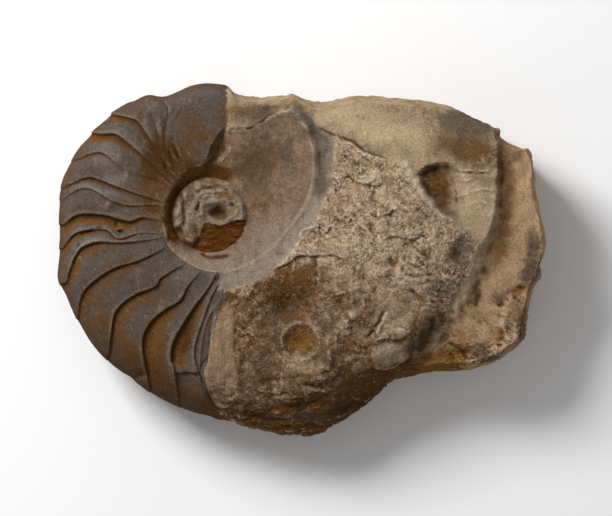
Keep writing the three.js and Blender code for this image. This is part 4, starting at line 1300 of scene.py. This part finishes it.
class FossilShape(bpy.types.PropertyGroup):
    """Sizes a user would change."""

    grid_cells: IntProperty(
        name="Grid cells", description="Cells along each side of the face grid, even",
        default=480, min=60, max=800,
    )
    triangle_limit: IntProperty(
        name="Triangles", description="Most triangles the finished stone keeps",
        default=190000, min=20000, max=199000,
    )
    rib_depth: FloatProperty(
        name="Rib depth", description="Scale of the drops between the rib plates",
        default=0.76, min=0.0, max=2.0,
    )
    crumble_height: FloatProperty(
        name="Crumble height", description="Height of the broken flakes on the matrix",
        default=0.00078, min=0.0, max=0.003, unit="LENGTH",
    )
    boss_top: FloatProperty(
        name="Boss top", description="Level of the boss in the umbilicus above the base",
        default=BOSS_TOP * MM, min=0.05, max=0.08, unit="LENGTH",
    )


class FossilColours(bpy.types.PropertyGroup):
    """Colours of the stone."""

    shell: colour_property("Shell", "Grey rib plates", (0.080, 0.068, 0.060))
    shell_warm: colour_property("Warm shell", "Browner clouds on the ribs", (0.077, 0.051, 0.034))
    # The band colour also lays the painted light on the bowl's lit lower right side.
    band: colour_property("Band", "Bare grey whorl beside the bowl", (0.226, 0.179, 0.139))
    boss: colour_property("Boss", "Broken inner whorls", (0.225, 0.172, 0.128))
    # Brown earth on the boss's terrace; it also paints the shade on the bowl's upper left wall, in
    # the pit and in the rib grooves.
    earth_and_shade: colour_property("Earth", "Brown earth left round the boss", (0.070, 0.021, 0.0015))
    loam: colour_property("Loam", "Earth-stained crumbled rock", (0.195, 0.114, 0.060))
    rust: colour_property("Rust", "Orange-brown plate behind a rib", (0.122, 0.052, 0.011))
    bowl: colour_property("Bowl", "Inside of the umbilical bowl", (0.22, 0.146, 0.094))
    bowl_deep: colour_property("Deep bowl", "Darker clouds in the bowl", (0.14, 0.091, 0.056))
    matrix: colour_property("Matrix", "Smooth pale matrix", (0.32, 0.235, 0.146))
    matrix_deep: colour_property("Deep matrix", "Darker clouds on the matrix", (0.22, 0.152, 0.09))
    crumble: colour_property("Crumbled rock", "Broken matrix", (0.415, 0.283, 0.178))
    crumble_deep: colour_property("Deep crumble", "Darker broken matrix", (0.23, 0.155, 0.095))
    strip: colour_property("Pink strip", "Striated strip beside the last rib", (0.21, 0.13, 0.08))
    ledge: colour_property("Ledge", "Lower bed of rock", (0.38, 0.245, 0.138))
    pale: colour_property("Pale bloom", "Palest matrix", (0.44, 0.335, 0.21))
    # Grey-black stains, also used for painted shade along the crumbled rock's east edge and the
    # lower rounding.
    dark_stain_and_shade: colour_property("Dark stain", "Grey-black stain", (0.085, 0.064, 0.046))
    # Grey bloom, also used for painted sheen on the upper plates.
    bloom_and_sheen: colour_property("Slate bloom", "Grey bloom on plates and rock", (0.150, 0.132, 0.115))
    # Brown stains, also used for painted shade along the scarp, round the bowl and on the lower
    # rounding.
    umber_and_shade: colour_property("Umber", "Brown earth stain", (0.092, 0.042, 0.011))
    ochre: colour_property("Ochre", "Orange-brown soil", (0.18, 0.080, 0.020))
    # Dark soil for stains and veins, also used for the painted shade in hollows and creases.
    soil_and_shade: colour_property("Soil", "Dark soil in hollows", (0.055, 0.025, 0.007))
    # Pale wear and flecks, also used for painted highlights on raised edges and along the bowl's
    # crest.
    wear_and_highlight: colour_property("Worn edge", "Pale rubbed edges", (0.50, 0.405, 0.305))


class FossilStage(bpy.types.PropertyGroup):
    """Floor, lights and camera."""

    floor: colour_property("Floor", "Plain pale floor", (0.86, 0.86, 0.86))
    lens: FloatProperty(
        name="Lens", description="Focal length of the camera", default=0.25, min=0.05, max=0.5,
        unit="LENGTH",
    )
    key_power: FloatProperty(
        name="Key light", description="Power of the soft light at the upper left, in watts",
        default=42.0, min=0.0, max=500.0,
    )
    sky: FloatProperty(
        name="Sky light", description="Strength of the even light from all round",
        default=0.36, min=0.0, max=5.0,
    )


class FOSSIL_OT_stone(bpy.types.Operator):
    """Build the fossil as one fine stone in place of the frame's plain solid"""

    bl_idname = "fossil.stone"
    bl_label = "Fossil stone"

    def execute(self, context):
        shape = context.scene.fossil_shape
        points, measures, cells, rows = stone_skin(shape)
        quads, triangles = skin_faces(cells, rows)
        mesh = mesh_from_arrays("fossil_stone", points * MM, quads, triangles, measures)
        stone = bpy.data.objects.new("fossil_stone", mesh)
        context.scene.collection.objects.link(stone)
        thinned(stone, shape.triangle_limit)
        stone.data.materials.append(StoneFinish(context.scene.fossil_colours).material)
        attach(stone, "root")
        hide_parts(STONE_NODE)
        return {"FINISHED"}


class FOSSIL_OT_stage(bpy.types.Operator):
    """Lay the plain floor, set the soft lights and aim the camera straight down"""

    bl_idname = "fossil.stage"
    bl_label = "Stage"

    def execute(self, context):
        settings = context.scene.fossil_stage
        floor_finish = Finish("floor_finish")
        floor_finish.fill(floor_finish.shader, {"Base Color": settings.floor, "Roughness": 0.9})
        half = 3.0
        floor_mesh = bpy.data.meshes.new("floor")
        corners = [(-half, -half, 0), (half, -half, 0), (half, half, 0), (-half, half, 0)]
        floor_mesh.from_pydata(corners, [], [(0, 1, 2, 3)])
        floor_mesh.materials.append(floor_finish.material)
        floor = bpy.data.objects.new("floor", floor_mesh)
        context.scene.collection.objects.link(floor)
        soft_light("key", settings.key_power, 0.7, (-1.0, 1.0, 1.25))
        aim_camera(context.scene, settings.lens)
        world = bpy.data.worlds.new("studio")
        world.use_nodes = True
        world.node_tree.nodes["Background"].inputs["Color"].default_value = (1, 1, 1, 1)
        world.node_tree.nodes["Background"].inputs["Strength"].default_value = settings.sky
        context.scene.world = world
        context.scene.view_settings.view_transform = "Standard"
        return {"FINISHED"}


def soft_light(name, power, size, place):
    """A square light of that size at a place in metres, facing the middle of the fossil."""
    lamp = bpy.data.lights.new(name, "AREA")
    lamp.energy = power
    lamp.size = size
    light = bpy.data.objects.new(name, lamp)
    bpy.context.scene.collection.objects.link(light)
    light.location = place
    x, y, z = place
    light.rotation_euler = (math.atan2(math.hypot(x, y), z), 0.0, math.atan2(y, x) + math.pi / 2)


def aim_camera(scene, lens):
    """Camera straight above, turned so that +X is to the right. Its height gives the widest
    line its share of the picture's width."""
    sensor = 0.036
    view_width = 0.404
    widest_level = 0.045
    lens_data = bpy.data.cameras.new("camera")
    lens_data.lens = lens / MM
    lens_data.sensor_width = sensor / MM
    camera = bpy.data.objects.new("camera", lens_data)
    scene.collection.objects.link(camera)
    camera.location = (0.003, 0.0017, widest_level + view_width * lens / sensor)
    scene.camera = camera


class FOSSIL_PT_panel(bpy.types.Panel):
    """Sizes, colours and the operators in order"""

    bl_idname = "FOSSIL_PT_panel"
    bl_label = "Ammonite fossil"
    bl_space_type = "VIEW_3D"
    bl_region_type = "UI"
    bl_category = "Fossil"

    def draw(self, context):
        for group in SETTINGS:
            settings = getattr(context.scene, group)
            box = self.layout.box()
            for name in settings.__annotations__:
                box.prop(settings, name)
        self.layout.operator(FOSSIL_OT_stone.bl_idname)
        self.layout.operator(FOSSIL_OT_stage.bl_idname)


SETTINGS = {"fossil_shape": FossilShape, "fossil_colours": FossilColours,
            "fossil_stage": FossilStage}
CLASSES = (*SETTINGS.values(), FOSSIL_OT_stone, FOSSIL_OT_stage, FOSSIL_PT_panel)


def register():
    for cls in CLASSES:
        bpy.utils.register_class(cls)
    for name, group in SETTINGS.items():
        setattr(bpy.types.Scene, name, PointerProperty(type=group))


def unregister():
    for name in SETTINGS:
        delattr(bpy.types.Scene, name)
    for cls in reversed(CLASSES):
        bpy.utils.unregister_class(cls)


def main():
    """Build everything in order."""
    register()
    bpy.ops.fossil.stage()
    bpy.ops.fossil.stone()


if __name__ == "__main__":
    main()
